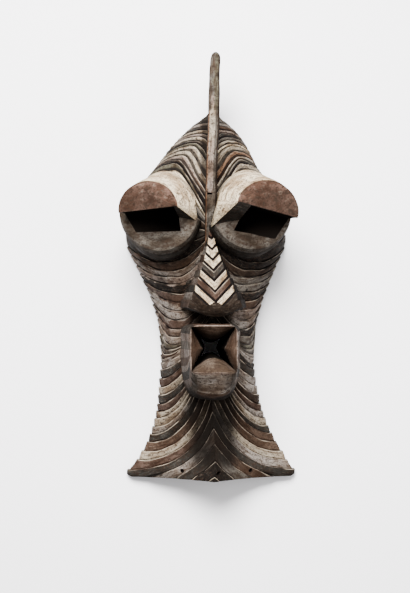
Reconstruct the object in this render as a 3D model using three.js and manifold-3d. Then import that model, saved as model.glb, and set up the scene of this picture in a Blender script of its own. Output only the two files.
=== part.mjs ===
// A one-piece carved wooden face mask of the Songye kifwebe kind, lying on the flat rim of its open back.
// Its face is covered in lapped bands that flow round two visored eyes, a wedge nose and a boxed mouth,
// and a tall thin crest runs over its forehead. It is hollow, open behind and below.
// Units are millimetres. While it is built, X runs to the right of someone facing it, Y from the beard's
// cut edge (0) to the crest's tip, and Z from the rim (0) out of the face. At the end it is centred.

import * as THREE from 'three';
import { mergeVertices } from 'three/addons/utils/BufferGeometryUtils.js';
import Module from 'manifold-3d';

const wasm = await Module();
wasm.setup();

// Overall sizes
const LENGTH = 600; // beard edge to crest tip
const HALF_WIDTH = 122; // axis to one tip of the beard
const FACE_DEPTH = 122; // rim to the brow, without eyes, nose, mouth or crest
const WALL = 12; // thickness of the carved shell
const AXIS = [
  [0, 8], [0.05, 10], [0.13, 7.5], [0.24, 3.4], [0.42, 2.6], [0.544, 1], [0.65, 0], [0.74, 0.6],
  [0.8, 2.6], [0.86, 4.2], [0.93, 6.2], [1, 11],
]; // share of LENGTH, then how far the log's axis has wandered sideways

// Lapped bands
const BAND_COUNT = 52;
const BAND_RELIEF = 3.4; // step at a band's upper edge
const RISER_SHARE = 0.1; // share of a band's width that its step takes
const RELIEF_TO_SPACING = 0.33; // a narrow band has a shallower step

// Eyes: one visor and one lower lid on each side
const EYE_YAW = 13; // degrees that an eye looks outwards
const EYE_SPREAD = 81.5; // axis to the middle of a visor's face
const EYE_SHIFT = -5.5; // the pair sits off the axis by this much
const EYE_RISE = 62; // visor's face above the brow
const EYE_HEIGHT = 0.6275 * LENGTH; // beard edge to the visor's straight edge
const LID_SETBACK = 23; // lower lid's face behind the visor's
const EYES = [
  {
    side: -1, roll: 5.7, halfWidth: 40.5, height: 36.5, inward: 18.5, drop: 21, lidShift: 0,
    slotTop: [-36, 38], slotBottom: [[-36, -33], [26, -28]],
  },
  {
    side: 1, roll: 14, halfWidth: 43.5, height: 38, inward: 17, drop: 37, lidShift: 4,
    slotTop: [-25, 41], slotBottom: [[-32, -37], [28, -33]],
  },
]; // inward and drop place the visor's lower corner by the nose; a slot's edges run from inner to outer

// Nose
const NOSE_TOP = 0.5835 * LENGTH;
const NOSE_TIP = 0.4208 * LENGTH; // where the ridge ends and the underside turns in
const NOSE_UNDERSIDE = 30; // length of the turned-in underside
const NOSE_SHIFT_TOP = 0.6; // the leaning nose sits off the axis by this much
const NOSE_SHIFT_TIP = 3.4;
const NOSE_HALF_TOP = 2.5;
const NOSE_HALF_TIP = 30.5;
const NOSE_RISE_TOP = 6; // ridge above the shell at the bridge
const NOSE_RISE_TIP = 58; // ridge above the shell at the tip
const NOSE_FACET = 0.34; // fall of the two facets from the ridge, per millimetre of width
const CHEVRON_PITCH = 14.4;
const CHEVRON_COUNT = 10;
const CHEVRON_RELIEF = 2.4;

// Mouth
const MOUTH_CENTRE = 0.3133 * LENGTH;
const MOUTH_RISE = 76; // lips above the shell
const MOUTH_LENGTH = 106; // lips to the root of the box
const LIP_HALF = 32.5; // half the square of the lips' outer edge
const LIP_EDGE = 1.8; // thickness of a lip's edge
const LIP_BULGE_SIDE = 14;
const LIP_BULGE_TOP = 16;
const LIP_BULGE_BOTTOM = 17;
const LIP_DEPTH = 22; // from the lips' edge back to their fullest point

// Crest
const CREST_THICKNESS = 15.6;
const CREST_TIP_THICKNESS = 13;
const CREST_RISE = 46; // crest above the forehead where it stands highest
const CREST_LEAN = 3; // degrees that the blade leans to one side
const CREST_NOTCH = { share: 0.6645, width: 7, height: 3, depth: 5 };

// Three holes along the beard's edge
const EDGE_HOLE_RADIUS = 2.6;
const EDGE_HOLE_PITCH = 49;
const EDGE_HOLE_SHIFT = 3;
const EDGE_HOLE_HEIGHT = 12;

const radians = THREE.MathUtils.degToRad;
const smoothStep = THREE.MathUtils.smoothstep;
const lerp = THREE.MathUtils.lerp;

// A smooth curve through stations [at, value] that never overshoots them.
function curveThrough(stations) {
  const slopes = stations.slice(1).map(([x, y], i) => (y - stations[i][1]) / (x - stations[i][0]));
  const tangents = stations.map((_, i) => {
    const before = slopes[Math.max(i - 1, 0)];
    const after = slopes[Math.min(i, slopes.length - 1)];
    return before * after <= 0 ? 0 : (2 * before * after) / (before + after);
  });
  return (x) => {
    let i = 0;
    while (i < stations.length - 2 && x > stations[i + 1][0]) i += 1;
    const [x0, y0] = stations[i];
    const [x1, y1] = stations[i + 1];
    const step = x1 - x0;
    const s = Math.min(Math.max((x - x0) / step, 0), 1);
    const blend = s * s * (3 - 2 * s);
    const rise = step * (tangents[i] * s * (1 - s) ** 2 - tangents[i + 1] * s * s * (1 - s));
    return lerp(y0, y1, blend) + rise;
  };
}

// The bare shell: half width and depth along the face, as shares of LENGTH, HALF_WIDTH and FACE_DEPTH.
const widthShare = curveThrough([
  [-0.05, 1], [0, 1], [0.013, 0.985], [0.03, 0.905], [0.05, 0.845], [0.088, 0.74],
  [0.135, 0.65], [0.185, 0.59], [0.28, 0.542], [0.352, 0.562], [0.423, 0.65], [0.506, 0.825],
  [0.565, 0.935], [0.625, 0.9], [0.71, 0.7], [0.745, 0.58], [0.781, 0.463], [0.828, 0.275],
  [0.863, 0.088], [0.872, 0.03],
]);
const depthShare = curveThrough([
  [-0.05, 0.78], [0, 0.75], [0.09, 0.69], [0.185, 0.74], [0.28, 0.82], [0.42, 0.85], [0.5, 0.92],
  [0.577, 1], [0.64, 1], [0.71, 0.9], [0.78, 0.69], [0.83, 0.46], [0.86, 0.22], [0.872, 0.08],
]);
const halfWidthAt = (y) => HALF_WIDTH * widthShare(y / LENGTH);
const depthAt = (y) => FACE_DEPTH * depthShare(y / LENGTH);
const axisAt = curveThrough(AXIS);

// Cross-section from the axis (t = 0) to the rim (t = 1): rounded above, a prow with hollow flanks below.
const ROUND_POWER = 2.3;
const PROW_POWER = 1.8;
const PROW_EDGE = 0.17;
const PROW_EDGE_POWER = 8;
const PROW_FULL = 0.05;
const PROW_NONE = 0.29;
const FURROW_DEPTH = 7; // groove on each side of the crest's foot
const FURROW_HALF = 0.2;
const prowAt = (y) => 1 - smoothStep(y / LENGTH, PROW_FULL, PROW_NONE);
const furrowAt = (y) => FURROW_DEPTH * smoothStep(y / LENGTH, 0.6, 0.7);

function roundSection(t) {
  return Math.max(1 - t ** ROUND_POWER, 0) ** (1 / ROUND_POWER);
}

function prowSection(t) {
  const edge = PROW_EDGE * Math.max(1 - t ** PROW_EDGE_POWER, 0) ** (1 / PROW_EDGE_POWER);
  return edge + (1 - PROW_EDGE) * (1 - t) ** PROW_POWER;
}

function shellPoint(t, y) {
  const across = Math.min(Math.abs(t), 1);
  const prow = prowAt(y);
  const section = (1 - prow) * roundSection(across) + prow * prowSection(across);
  const furrow = furrowAt(y) * Math.exp(-((across / FURROW_HALF) ** 2)) * Math.min(depthAt(y) / FACE_DEPTH, 1);
  const z = Math.max(depthAt(y) * section - furrow, 0);
  return new THREE.Vector3(t * halfWidthAt(y), y, z);
}

function shellNormal(t, y) {
  const side = Math.sign(t) || 1;
  const inner = Math.abs(t) > 0.02 ? side * Math.max(Math.abs(t) - 0.02, 0) : -0.02;
  const outer = side * Math.min(Math.max(Math.abs(t), 0.02) + 0.005, 1);
  const alongT = shellPoint(outer, y).sub(shellPoint(inner, y)).multiplyScalar(side);
  if (Math.abs(t) < 0.001) alongT.set(1, 0, 0);
  const alongY = shellPoint(t, y + 2).sub(shellPoint(t, y - 2));
  return alongT.cross(alongY).normalize();
}

// How the bands flow. Each row is a band's number, then its height on the axis, at its turning point and
// at the rim, as shares of LENGTH, then where it turns, as a share of the half width, and how sharply it
// leaves the axis. Bands arch over the eyes, hang below them in festoons and fan down the beard.
const FLOW = [
  [0, 0.872, 0.872, 0.872, 0.5, 2],
  [3, 0.836, 0.841, 0.8285, 0.3, 2],
  [6, 0.798, 0.8136, 0.799, 0.4, 2],
  [8, 0.7637, 0.796, 0.778, 0.45, 1.9],
  [10, 0.7298, 0.7827, 0.7585, 0.52, 1.8],
  [11, 0.6916, 0.77, 0.749, 0.56, 1.7],
  [12, 0.659, 0.759, 0.7405, 0.6, 1.6],
  [13, 0.6407, 0.7497, 0.732, 0.62, 1.6],
  [15, 0.6015, 0.7218, 0.703, 0.62, 1.8],
  [20, 0.571, 0.512, 0.552, 0.55, 2],
  [23, 0.527, 0.459, 0.488, 0.5, 2],
  [27, 0.444, 0.377, 0.414, 0.62, 2],
  [30, 0.403, 0.318, 0.359, 0.8, 2.2],
  [34, 0.38, 0.28, 0.281, 1, 2.35],
  [39, 0.353, 0.177, 0.178, 1, 2.35],
  [43, 0.331, 0.102, 0.103, 1, 2.35],
  [45, 0.239, 0.059, 0.06, 1, 2.35],
  [47, 0.162, 0.018, 0.019, 1, 2.35],
  [BAND_COUNT, -0.025, -0.095, -0.094, 1, 2.35],
];
const flowColumn = (column) => curveThrough(FLOW.map((row) => [row[0], row[column]]));
const [axisHeight, turnHeight, rimHeight, turnAt, turnPower] = [1, 2, 3, 4, 5].map(flowColumn);
const RIM_POWER = 3.2;

function bandHeight(t, band) {
  const turn = turnAt(band);
  const middle = turnHeight(band);
  if (t <= turn) {
    return LENGTH * (middle + (axisHeight(band) - middle) * (1 - t / turn) ** turnPower(band));
  }
  return LENGTH * (middle + (rimHeight(band) - middle) * ((t - turn) / (1 - turn)) ** RIM_POWER);
}

// A solid from rings of equal point counts, with a fan over each end.
function loft(rings) {
  const count = rings[0].length;
  const positions = rings.flat().flatMap((p) => [p.x, p.y, p.z]);
  const indices = [];
  for (let r = 0; r < rings.length - 1; r += 1) {
    for (let i = 0; i < count; i += 1) {
      const j = (i + 1) % count;
      const [a, b, c, d] = [r * count + i, r * count + j, (r + 1) * count + i, (r + 1) * count + j];
      indices.push(a, b, d, a, d, c);
    }
  }
  for (const [r, flip] of [[0, true], [rings.length - 1, false]]) {
    const centre = rings[r].reduce((sum, p) => sum.add(p), new THREE.Vector3()).divideScalar(count);
    const apex = positions.length / 3;
    positions.push(centre.x, centre.y, centre.z);
    for (let i = 0; i < count; i += 1) {
      const pair = [r * count + i, r * count + ((i + 1) % count)];
      if (flip) pair.reverse();
      indices.push(...pair, apex);
    }
  }
  const geometry = new THREE.BufferGeometry();
  geometry.setAttribute('position', new THREE.Float32BufferAttribute(positions, 3));
  geometry.setIndex(indices);
  return toSolid(geometry);
}

function toSolid(geometry) {
  const bare = geometry.clone();
  bare.deleteAttribute('normal');
  bare.deleteAttribute('uv');
  const merged = mergeVertices(bare, 1e-4);
  const vertProperties = new Float32Array(merged.attributes.position.array);
  const triVerts = new Uint32Array(merged.index.array);
  if (signedVolume(vertProperties, triVerts) < 0) {
    for (let i = 0; i < triVerts.length; i += 3) {
      [triVerts[i], triVerts[i + 1]] = [triVerts[i + 1], triVerts[i]];
    }
  }
  return new wasm.Manifold(new wasm.Mesh({ numProp: 3, vertProperties, triVerts }));
}

function signedVolume(positions, indices) {
  const corner = (i) => new THREE.Vector3().fromArray(positions, 3 * indices[i]);
  let total = 0;
  for (let i = 0; i < indices.length; i += 3) {
    total += corner(i).dot(corner(i + 1).cross(corner(i + 2)));
  }
  return total / 6;
}

// Columns across the face, close together where the section turns down to the rim.
const HALF_COLUMNS = 13;
const columnAt = (j) => Math.sign(j) * Math.sin((Math.PI / 2) * (Math.abs(j) / HALF_COLUMNS)) ** 0.9;
const COLUMNS = Array.from({ length: 2 * HALF_COLUMNS + 1 }, (_, i) => columnAt(i - HALF_COLUMNS));

// The shell's outside: each band starts proud at its upper edge and sinks towards its lower one.
function bandedShell() {
  const rows = [];
  for (let band = 0; band < BAND_COUNT; band += 1) {
    rows.push([band, band, 0.5], [band + 1 - RISER_SHARE, band, -0.5]);
  }
  const rings = rows.map(([at, band, lift]) => COLUMNS.map((t) => {
    const y = bandHeight(Math.abs(t), at);
    const spacing = Math.abs(bandHeight(Math.abs(t), band) - bandHeight(Math.abs(t), band + 1));
    const relief = lift * Math.min(BAND_RELIEF, RELIEF_TO_SPACING * spacing);
    const point = shellPoint(t, y).addScaledVector(shellNormal(t, y), relief);
    if (Math.abs(t) === 1) point.z = 0;
    return point;
  }));
  return loft(rings);
}

// The hollow: a trough that keeps WALL of wood all round, open at the back and at the beard's edge.
const CAVITY_ROWS = 26;
const CAVITY_TOP = 0.83;
const CAVITY_OVERRUN = 20;
const CAVITY_FLANK_POWER = 1.65;
const CAVITY_HALF_COLUMNS = 8;

function cavity() {
  const rings = [];
  for (let row = 0; row <= CAVITY_ROWS; row += 1) {
    const y = lerp(-CAVITY_OVERRUN, CAVITY_TOP * LENGTH, row / CAVITY_ROWS);
    const prow = prowAt(y);
    const half = halfWidthAt(Math.max(y, 0)) - WALL;
    const depth = depthAt(Math.max(y, 0)) - furrowAt(y) - WALL * (1 + 0.5 * prow);
    const ring = [];
    for (let j = -CAVITY_HALF_COLUMNS; j <= CAVITY_HALF_COLUMNS; j += 1) {
      const t = Math.sin((Math.PI / 2) * (Math.abs(j) / CAVITY_HALF_COLUMNS));
      const section = (1 - prow) * roundSection(t) + prow * (1 - t) ** CAVITY_FLANK_POWER;
      ring.push(new THREE.Vector3(Math.sign(j) * t * half, y, depth * section));
    }
    ring.push(new THREE.Vector3(half, y, -CAVITY_OVERRUN), new THREE.Vector3(-half, y, -CAVITY_OVERRUN));
    rings.push(ring);
  }
  return loft(rings);
}

// Places points given in an eye's own frame: x outwards, y up, z along the eye, from the visor's face.
function eyeFrame(eye) {
  const turn = new THREE.Matrix4().makeRotationY(radians(EYE_YAW));
  const roll = new THREE.Matrix4().makeRotationZ(radians(-eye.roll));
  const mirror = new THREE.Matrix4().makeScale(eye.side, 1, 1);
  const place = new THREE.Matrix4().makeTranslation(
    eye.side * EYE_SPREAD + EYE_SHIFT, EYE_HEIGHT, FACE_DEPTH + EYE_RISE,
  );
  return place.multiply(mirror).multiply(turn).multiply(roll);
}

// Part of an ellipse, from its inner end over the arc to its outer end, closed by a straight edge. A
// visor's arc starts level with its centre, and a lid's arc starts lower, at the edge's own inner end.
const ARC_STEPS = 12;
const EDGE_OVERLAP = 2;

function halfRing(frame, centre, halfWide, high, edge, z, up) {
  const [inner, outer] = edge;
  const start = Math.PI - (up < 0 ? Math.asin(Math.min(Math.max(-inner / high, 0), 1)) : 0);
  const ring = [];
  for (let i = 0; i <= ARC_STEPS; i += 1) {
    const angle = start * (1 - i / ARC_STEPS);
    ring.push(new THREE.Vector3(centre + halfWide * Math.cos(angle), up * high * Math.sin(angle), z));
  }
  const lap = up < 0 ? EDGE_OVERLAP : 0;
  ring.push(new THREE.Vector3(centre + halfWide, outer + lap, z), new THREE.Vector3(ring[0].x, inner + lap, z));
  return ring.map((p) => p.applyMatrix4(frame));
}

// The visor: a tapered half dome that grows out of the forehead and ends in a flat half-disc. Its lower
// corner by the nose runs in and down behind the face.
const VISOR_EDGE = -1;
const VISOR_LENGTH = 125;
const VISOR_BASE_HIGHER = 20;
const VISOR_OUTER_DRAW = 5; // how far the base's outer end is drawn in
const VISOR_STEPS = 7;
const INNER_RUN = 38; // depth over which the inner corner runs in and down
const INNER_RETURN = 0.16;
const swellAt = (back) => Math.min(1.35 * back, 1) ** 0.8;
const innerRunAt = (back) => Math.min(back / INNER_RUN, 1) ** 0.9;

function visor(eye) {
  const frame = eyeFrame(eye);
  const rings = [];
  for (let i = 0; i <= VISOR_STEPS; i += 1) {
    const share = 1 - (i / VISOR_STEPS) ** 1.6;
    const back = VISOR_LENGTH * share;
    const swell = swellAt(share);
    const inner = -eye.halfWidth - eye.inward * innerRunAt(back) + INNER_RETURN * Math.max(back - INNER_RUN, 0);
    const outer = eye.halfWidth - VISOR_OUTER_DRAW * swell;
    const edge = [VISOR_EDGE - eye.drop * innerRunAt(back), VISOR_EDGE];
    rings.push(halfRing(
      frame, (outer + inner) / 2, (outer - inner) / 2, eye.height + VISOR_BASE_HIGHER * swell, edge, -back, 1,
    ));
  }
  return loft(rings);
}

// The lower lid: a bowl below the visor, with a shallow slanting face inside a crisp rim. Its rings are
// shares of its length, its height and how much wider it is than the visor.
const LID_LENGTH = 100;
const LID_HEIGHT = 71;
const LID_WIDER = 17;
const LID_INWARD = 9;
const LID_RINGS = [
  { back: 1, inward: 0.11, wider: 1, high: 1 },
  { back: 0.55, inward: 0.33, wider: 1, high: 0.944 },
  { back: 0.24, inward: 0.78, wider: 0.94, high: 0.873 },
  { back: 0.12, inward: 1, wider: 0.82, high: 0.789 },
];

function lowerLid(eye) {
  const frame = eyeFrame(eye);
  const rings = LID_RINGS.map(({ back, inward, wider, high }) => {
    const depth = LID_SETBACK + back * LID_LENGTH;
    return halfRing(
      frame, -inward * LID_INWARD - eye.lidShift, eye.halfWidth + wider * LID_WIDER, high * LID_HEIGHT,
      [-eye.drop * innerRunAt(depth), 0], -depth, -1,
    );
  });
  rings.push(halfRing(frame, -LID_INWARD - eye.lidShift, 8, 6, [0, 0], -LID_SETBACK, -1));
  return loft(rings);
}

// The eye's slot, a tapering channel cut from its face through to the hollow.
const SLOT_LENGTH = 140;
const SLOT_TAPER = 0.85;
const SLOT_CLEARANCE = 0.2;

function eyeSlot(eye) {
  const frame = eyeFrame(eye);
  const [topInner, topOuter] = eye.slotTop;
  const [bottomInner, bottomOuter] = eye.slotBottom;
  const ceiling = VISOR_EDGE - SLOT_CLEARANCE;
  const corners = [[topInner, ceiling], [topOuter, ceiling], bottomOuter, bottomInner];
  const rings = [[10, 1], [-SLOT_LENGTH, SLOT_TAPER]].map(([z, scale]) => (
    corners.map(([x, y]) => new THREE.Vector3(x * scale, y, z).applyMatrix4(frame))
  ));
  return loft(rings);
}

// The nose: a roof of two facets whose bands meet in chevrons, trimmed below by a rounded underside.
const NOSE_COLUMNS = [-1, -0.66, -0.33, 0, 0.33, 0.66, 1];
const NOSE_ROOT = 55; // how deep its sides run into the shell
const NOSE_FLARE = 10; // how much wider it is there
const NOSE_ARC = 11; // rise of its lower edge towards the two sides
const noseShare = (y) => (NOSE_TOP - y) / (NOSE_TOP - NOSE_TIP);
const noseShiftAt = (y) => lerp(NOSE_SHIFT_TOP, NOSE_SHIFT_TIP, noseShare(y));
const noseHalfAt = (y) => lerp(NOSE_HALF_TOP, NOSE_HALF_TIP, Math.max(noseShare(y), 0) ** 1.15);
const noseRidgeAt = (y) => depthAt(y) + lerp(NOSE_RISE_TOP, NOSE_RISE_TIP, noseShare(y));

function noseChevrons() {
  const growth = (NOSE_HALF_TIP - NOSE_HALF_TOP) / (NOSE_TOP - NOSE_TIP);
  const rings = [];
  const addRow = (ridge, lift) => {
    const row = NOSE_COLUMNS.map((t) => {
      const x = (t * noseHalfAt(ridge)) / (1 + Math.abs(t) * growth);
      const y = ridge + Math.abs(x);
      return new THREE.Vector3(x, y, noseRidgeAt(y) - NOSE_FACET * Math.abs(x) + lift * CHEVRON_RELIEF);
    });
    const [first, last] = [row[0], row.at(-1)];
    row.push(last.clone().add(new THREE.Vector3(NOSE_FLARE, 0, -NOSE_ROOT)));
    row.unshift(first.clone().add(new THREE.Vector3(-NOSE_FLARE, 0, -NOSE_ROOT)));
    rings.push(row.map((p) => p.setX(p.x + noseShiftAt(p.y))));
  };
  for (let i = 0; i < CHEVRON_COUNT; i += 1) {
    const top = NOSE_TOP - i * CHEVRON_PITCH;
    addRow(top, 0.5);
    addRow(top - CHEVRON_PITCH * (1 - RISER_SHARE), -0.5);
  }
  return loft(rings);
}

function noseEnvelope() {
  const arcRow = (y, z, flat) => {
    const half = noseHalfAt(y) + NOSE_FLARE;
    const row = NOSE_COLUMNS.map((t) => new THREE.Vector3(t * half, y + flat * t * t * NOSE_ARC, z - flat * t * t * 14));
    row.push(new THREE.Vector3(half, row.at(-1).y, 0), new THREE.Vector3(-half, row[0].y, 0));
    return row.map((p) => p.setX(p.x + noseShiftAt(p.y)));
  };
  const height = noseRidgeAt(NOSE_TIP);
  const rings = [arcRow(NOSE_TOP + 30, height + 40, 0), arcRow(NOSE_TIP + 30, height + 12, 0)];
  const steps = 6;
  for (let i = 0; i <= steps; i += 1) {
    const angle = (Math.PI / 2) * (i / steps);
    const y = NOSE_TIP - NOSE_UNDERSIDE * Math.sin(angle);
    rings.push(arcRow(y, height + 1 - 46 * (1 - Math.cos(angle)), 1));
  }
  return loft(rings);
}

// The mouth: a square box that widens towards the face, its lower front cut back on a slope and its lower
// corners rounded off. Its rings are shares of its length and of the lips' half.
const MOUTH_RINGS = [
  { back: 1, half: 1.2, up: 1.015, down: 2.277 },
  { back: 0.66, half: 1.123, up: 1.015, down: 2.185 },
  { back: 0.34, half: 1.062, up: 1.015, down: 1.969 },
  { back: 0.028, half: 1, up: 1, down: 1.077 },
  { back: 0, half: 0.97, up: 0.97, down: 0.97 },
];
const MOUTH_CORNER_POWER = 7;
const MOUTH_LOWER_POWER = 3;
const MOUTH_STEPS = 24;

function mouthFront() {
  return depthAt(MOUTH_CENTRE) + MOUTH_RISE;
}

function mouthBox() {
  return loft(MOUTH_RINGS.map(({ back, half, up, down }) => {
    const ring = [];
    for (let i = 0; i < MOUTH_STEPS; i += 1) {
      const angle = 2 * Math.PI * ((i + 0.5) / MOUTH_STEPS);
      const [c, s] = [Math.cos(angle), Math.sin(angle)];
      const rounding = smoothStep(back, 0.02, 0.3) * smoothStep(-s, 0, 0.5);
      const power = lerp(MOUTH_CORNER_POWER, MOUTH_LOWER_POWER, rounding);
      const radius = LIP_HALF * (Math.abs(c) ** power + Math.abs(s) ** power) ** (-1 / power);
      ring.push(new THREE.Vector3(
        c * radius * half, MOUTH_CENTRE + s * radius * (s > 0 ? up : down), mouthFront() - back * MOUTH_LENGTH,
      ));
    }
    return ring;
  }));
}

// The mouth's opening: square at the lips' edge, pinched into a four-pointed star by the four full lips.
const LIP_STEPS = 6;
const LIPS = [
  { from: [-1, -1], to: [1, -1], bulge: LIP_BULGE_BOTTOM, arched: true },
  { from: [1, -1], to: [1, 1], bulge: LIP_BULGE_SIDE, arched: false },
  { from: [1, 1], to: [-1, 1], bulge: LIP_BULGE_TOP, arched: true },
  { from: [-1, 1], to: [-1, -1], bulge: LIP_BULGE_SIDE, arched: false },
];

function mouthOpening() {
  const half = LIP_HALF - LIP_EDGE;
  const ringAt = (z, fullness, size) => LIPS.flatMap(({ from, to, bulge, arched }) => {
    const side = [];
    for (let i = 0; i < LIP_STEPS; i += 1) {
      const s = i / LIP_STEPS;
      const profile = arched ? Math.sin(Math.PI * s) : 1 - Math.abs(2 * s - 1);
      const inward = fullness * bulge * profile;
      const [x, y] = [lerp(from[0], to[0], s) * half * size, lerp(from[1], to[1], s) * half * size];
      const nx = (from[0] + to[0]) / 2;
      const ny = (from[1] + to[1]) / 2;
      side.push(new THREE.Vector3(x - nx * inward, MOUTH_CENTRE + y - ny * inward, z));
    }
    return side;
  });
  const front = mouthFront();
  return loft([
    ringAt(front + 5, 0, 1.02),
    ringAt(front, 0, 1),
    ringAt(front - 0.5 * LIP_DEPTH, 0.62, 0.985),
    ringAt(front - LIP_DEPTH, 1, 0.96),
    ringAt(depthAt(MOUTH_CENTRE) - 3 * WALL, 0.55, 1),
  ]);
}

// The crest: a thin blade that rises from the bridge, stands over the forehead and ends above the head.
const crestFront = curveThrough([
  [0.54, 1], [0.572, 1.05], [0.62, 1.2], [0.7, 1.34], [0.77, 1.377], [0.84, 1.34], [0.9, 1.23], [0.96, 1.02],
  [0.985, 0.88], [1, 0.76],
]);
const crestBack = curveThrough([
  [0.54, 0.8], [0.64, 0.85], [0.71, 0.75], [0.78, 0.55], [0.83, 0.34], [0.86, 0.12], [0.873, 0.03],
  [0.9, 0.2], [0.95, 0.46], [0.985, 0.6], [1, 0.68],
]);
const CREST_LOW = 0.555;
const CREST_ROWS = 22;
const CREST_ROUND_ROWS = 3;
const CREST_ROUND_FROM = 0.972;
const CREST_CHAMFER = 3.4;

function crest() {
  const rings = [];
  const riseScale = CREST_RISE / 46;
  for (let row = 0; row <= CREST_ROWS + CREST_ROUND_ROWS; row += 1) {
    const round = Math.max(row - CREST_ROWS, 0) / CREST_ROUND_ROWS;
    const share = lerp(lerp(CREST_LOW, CREST_ROUND_FROM, Math.min(row / CREST_ROWS, 1)), 1, Math.sin((Math.PI / 2) * round));
    const y = share * LENGTH;
    const front = FACE_DEPTH * (1 + (crestFront(share) - 1) * riseScale);
    const back = FACE_DEPTH * crestBack(share);
    const tip = smoothStep(share, 0.9, 0.985);
    const rounding = Math.sqrt(1 - 0.9 * ((Math.max(share - CREST_ROUND_FROM, 0)) / (1 - CREST_ROUND_FROM)) ** 2);
    const half = (rounding * lerp(CREST_THICKNESS, CREST_TIP_THICKNESS, tip)) / 2;
    const narrow = Math.max(half - CREST_CHAMFER, 0.3 * half);
    rings.push([
      [-half, back], [-half, front - CREST_CHAMFER], [-narrow, front],
      [narrow, front], [half, front - CREST_CHAMFER], [half, back],
    ].map(([x, z]) => new THREE.Vector3(x + (front - z) * Math.tan(radians(CREST_LEAN)), y, z)));
  }
  return loft(rings);
}

function boxAt(width, height, depth, x, y, z) {
  const box = new THREE.BoxGeometry(width, height, depth);
  return toSolid(box.translate(x, y, z));
}

// A small chip across the crest's front edge, low on the forehead.
function crestNotch() {
  const { share, width, height, depth } = CREST_NOTCH;
  const front = FACE_DEPTH * crestFront(share);
  return boxAt(width, height, 2 * depth, -2, share * LENGTH, front);
}

function edgeHole(x) {
  const reach = 2 * FACE_DEPTH;
  const drill = new THREE.CylinderGeometry(EDGE_HOLE_RADIUS, EDGE_HOLE_RADIUS, reach, 10);
  return toSolid(drill.rotateX(Math.PI / 2).translate(x + EDGE_HOLE_SHIFT, EDGE_HOLE_HEIGHT, reach / 4));
}

// Everything in front of the rim's plane and above the beard's cut edge.
function keptSpace() {
  const size = 2 * LENGTH;
  return boxAt(size, size, size, 0, size / 2, size / 2);
}

function carve() {
  const nose = noseChevrons().intersect(noseEnvelope());
  const raised = [...EYES.map(visor), ...EYES.map(lowerLid), nose, mouthBox(), crest()];
  const cuts = [
    cavity(), mouthOpening(), crestNotch(), ...EYES.map(eyeSlot),
    ...[-EDGE_HOLE_PITCH, 0, EDGE_HOLE_PITCH].map(edgeHole),
  ];
  const whole = raised.reduce((sum, piece) => sum.add(piece), bandedShell());
  return cuts.reduce((sum, cut) => sum.subtract(cut), whole.intersect(keptSpace()));
}

// Bends the carving along the log's wandering axis, and centres it on its own outline.
function finish(solid) {
  const { vertProperties, triVerts } = solid.getMesh();
  const positions = Float32Array.from(vertProperties);
  for (let i = 0; i < positions.length; i += 3) positions[i] += axisAt(positions[i + 1] / LENGTH);
  const geometry = new THREE.BufferGeometry();
  geometry.setAttribute('position', new THREE.BufferAttribute(positions, 3));
  geometry.setIndex(new THREE.BufferAttribute(Uint32Array.from(triVerts), 1));
  geometry.computeBoundingBox();
  const middle = geometry.boundingBox.getCenter(new THREE.Vector3());
  geometry.translate(-middle.x, -middle.y, 0);
  geometry.computeVertexNormals();
  return geometry;
}

const paintedWood = new THREE.MeshStandardMaterial({ color: 0x8a7668, roughness: 0.82, metalness: 0 });
const mask = new THREE.Mesh(finish(carve()), paintedWood);
mask.name = 'carved_mask';

const part = new THREE.Group();
part.add(mask);

export default part;
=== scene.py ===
"""A Songye kifwebe mask of carved and painted wood, lying on its back on a pale floor.

It is one carving: a hollow shell covered in lapped bands, two hooded eyes, a wedge nose, a boxed mouth
and a thin crest. The forms are worked out in millimetres, Y from the beard's cut edge, and moved into
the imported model's frame in metres when their meshes are made.
"""

import math

import bpy
import numpy as np
from bpy.props import FloatProperty, FloatVectorProperty, PointerProperty
from mathutils import Matrix, Vector


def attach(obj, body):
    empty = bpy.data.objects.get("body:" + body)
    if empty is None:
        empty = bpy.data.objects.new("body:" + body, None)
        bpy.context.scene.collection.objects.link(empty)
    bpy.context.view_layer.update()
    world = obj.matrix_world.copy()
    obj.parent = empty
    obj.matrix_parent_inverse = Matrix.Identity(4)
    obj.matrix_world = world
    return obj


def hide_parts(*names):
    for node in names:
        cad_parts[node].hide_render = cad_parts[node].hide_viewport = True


bl_info = {
    "name": "Songye Kifwebe Mask",
    "version": (1, 0, 0),
    "blender": (4, 5, 0),
    "location": "3D View > Sidebar > Mask",
    "description": "Builds a carved and painted wooden mask around its packed model",
    "category": "Object",
}

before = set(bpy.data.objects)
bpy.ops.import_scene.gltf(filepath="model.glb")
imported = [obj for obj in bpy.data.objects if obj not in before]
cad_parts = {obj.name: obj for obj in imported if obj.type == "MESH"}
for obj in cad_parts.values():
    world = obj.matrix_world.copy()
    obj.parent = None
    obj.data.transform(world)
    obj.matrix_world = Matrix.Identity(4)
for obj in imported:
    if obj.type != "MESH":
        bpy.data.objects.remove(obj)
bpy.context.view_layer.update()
MASK_NODE = "carved_mask"
MM = 0.001

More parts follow.
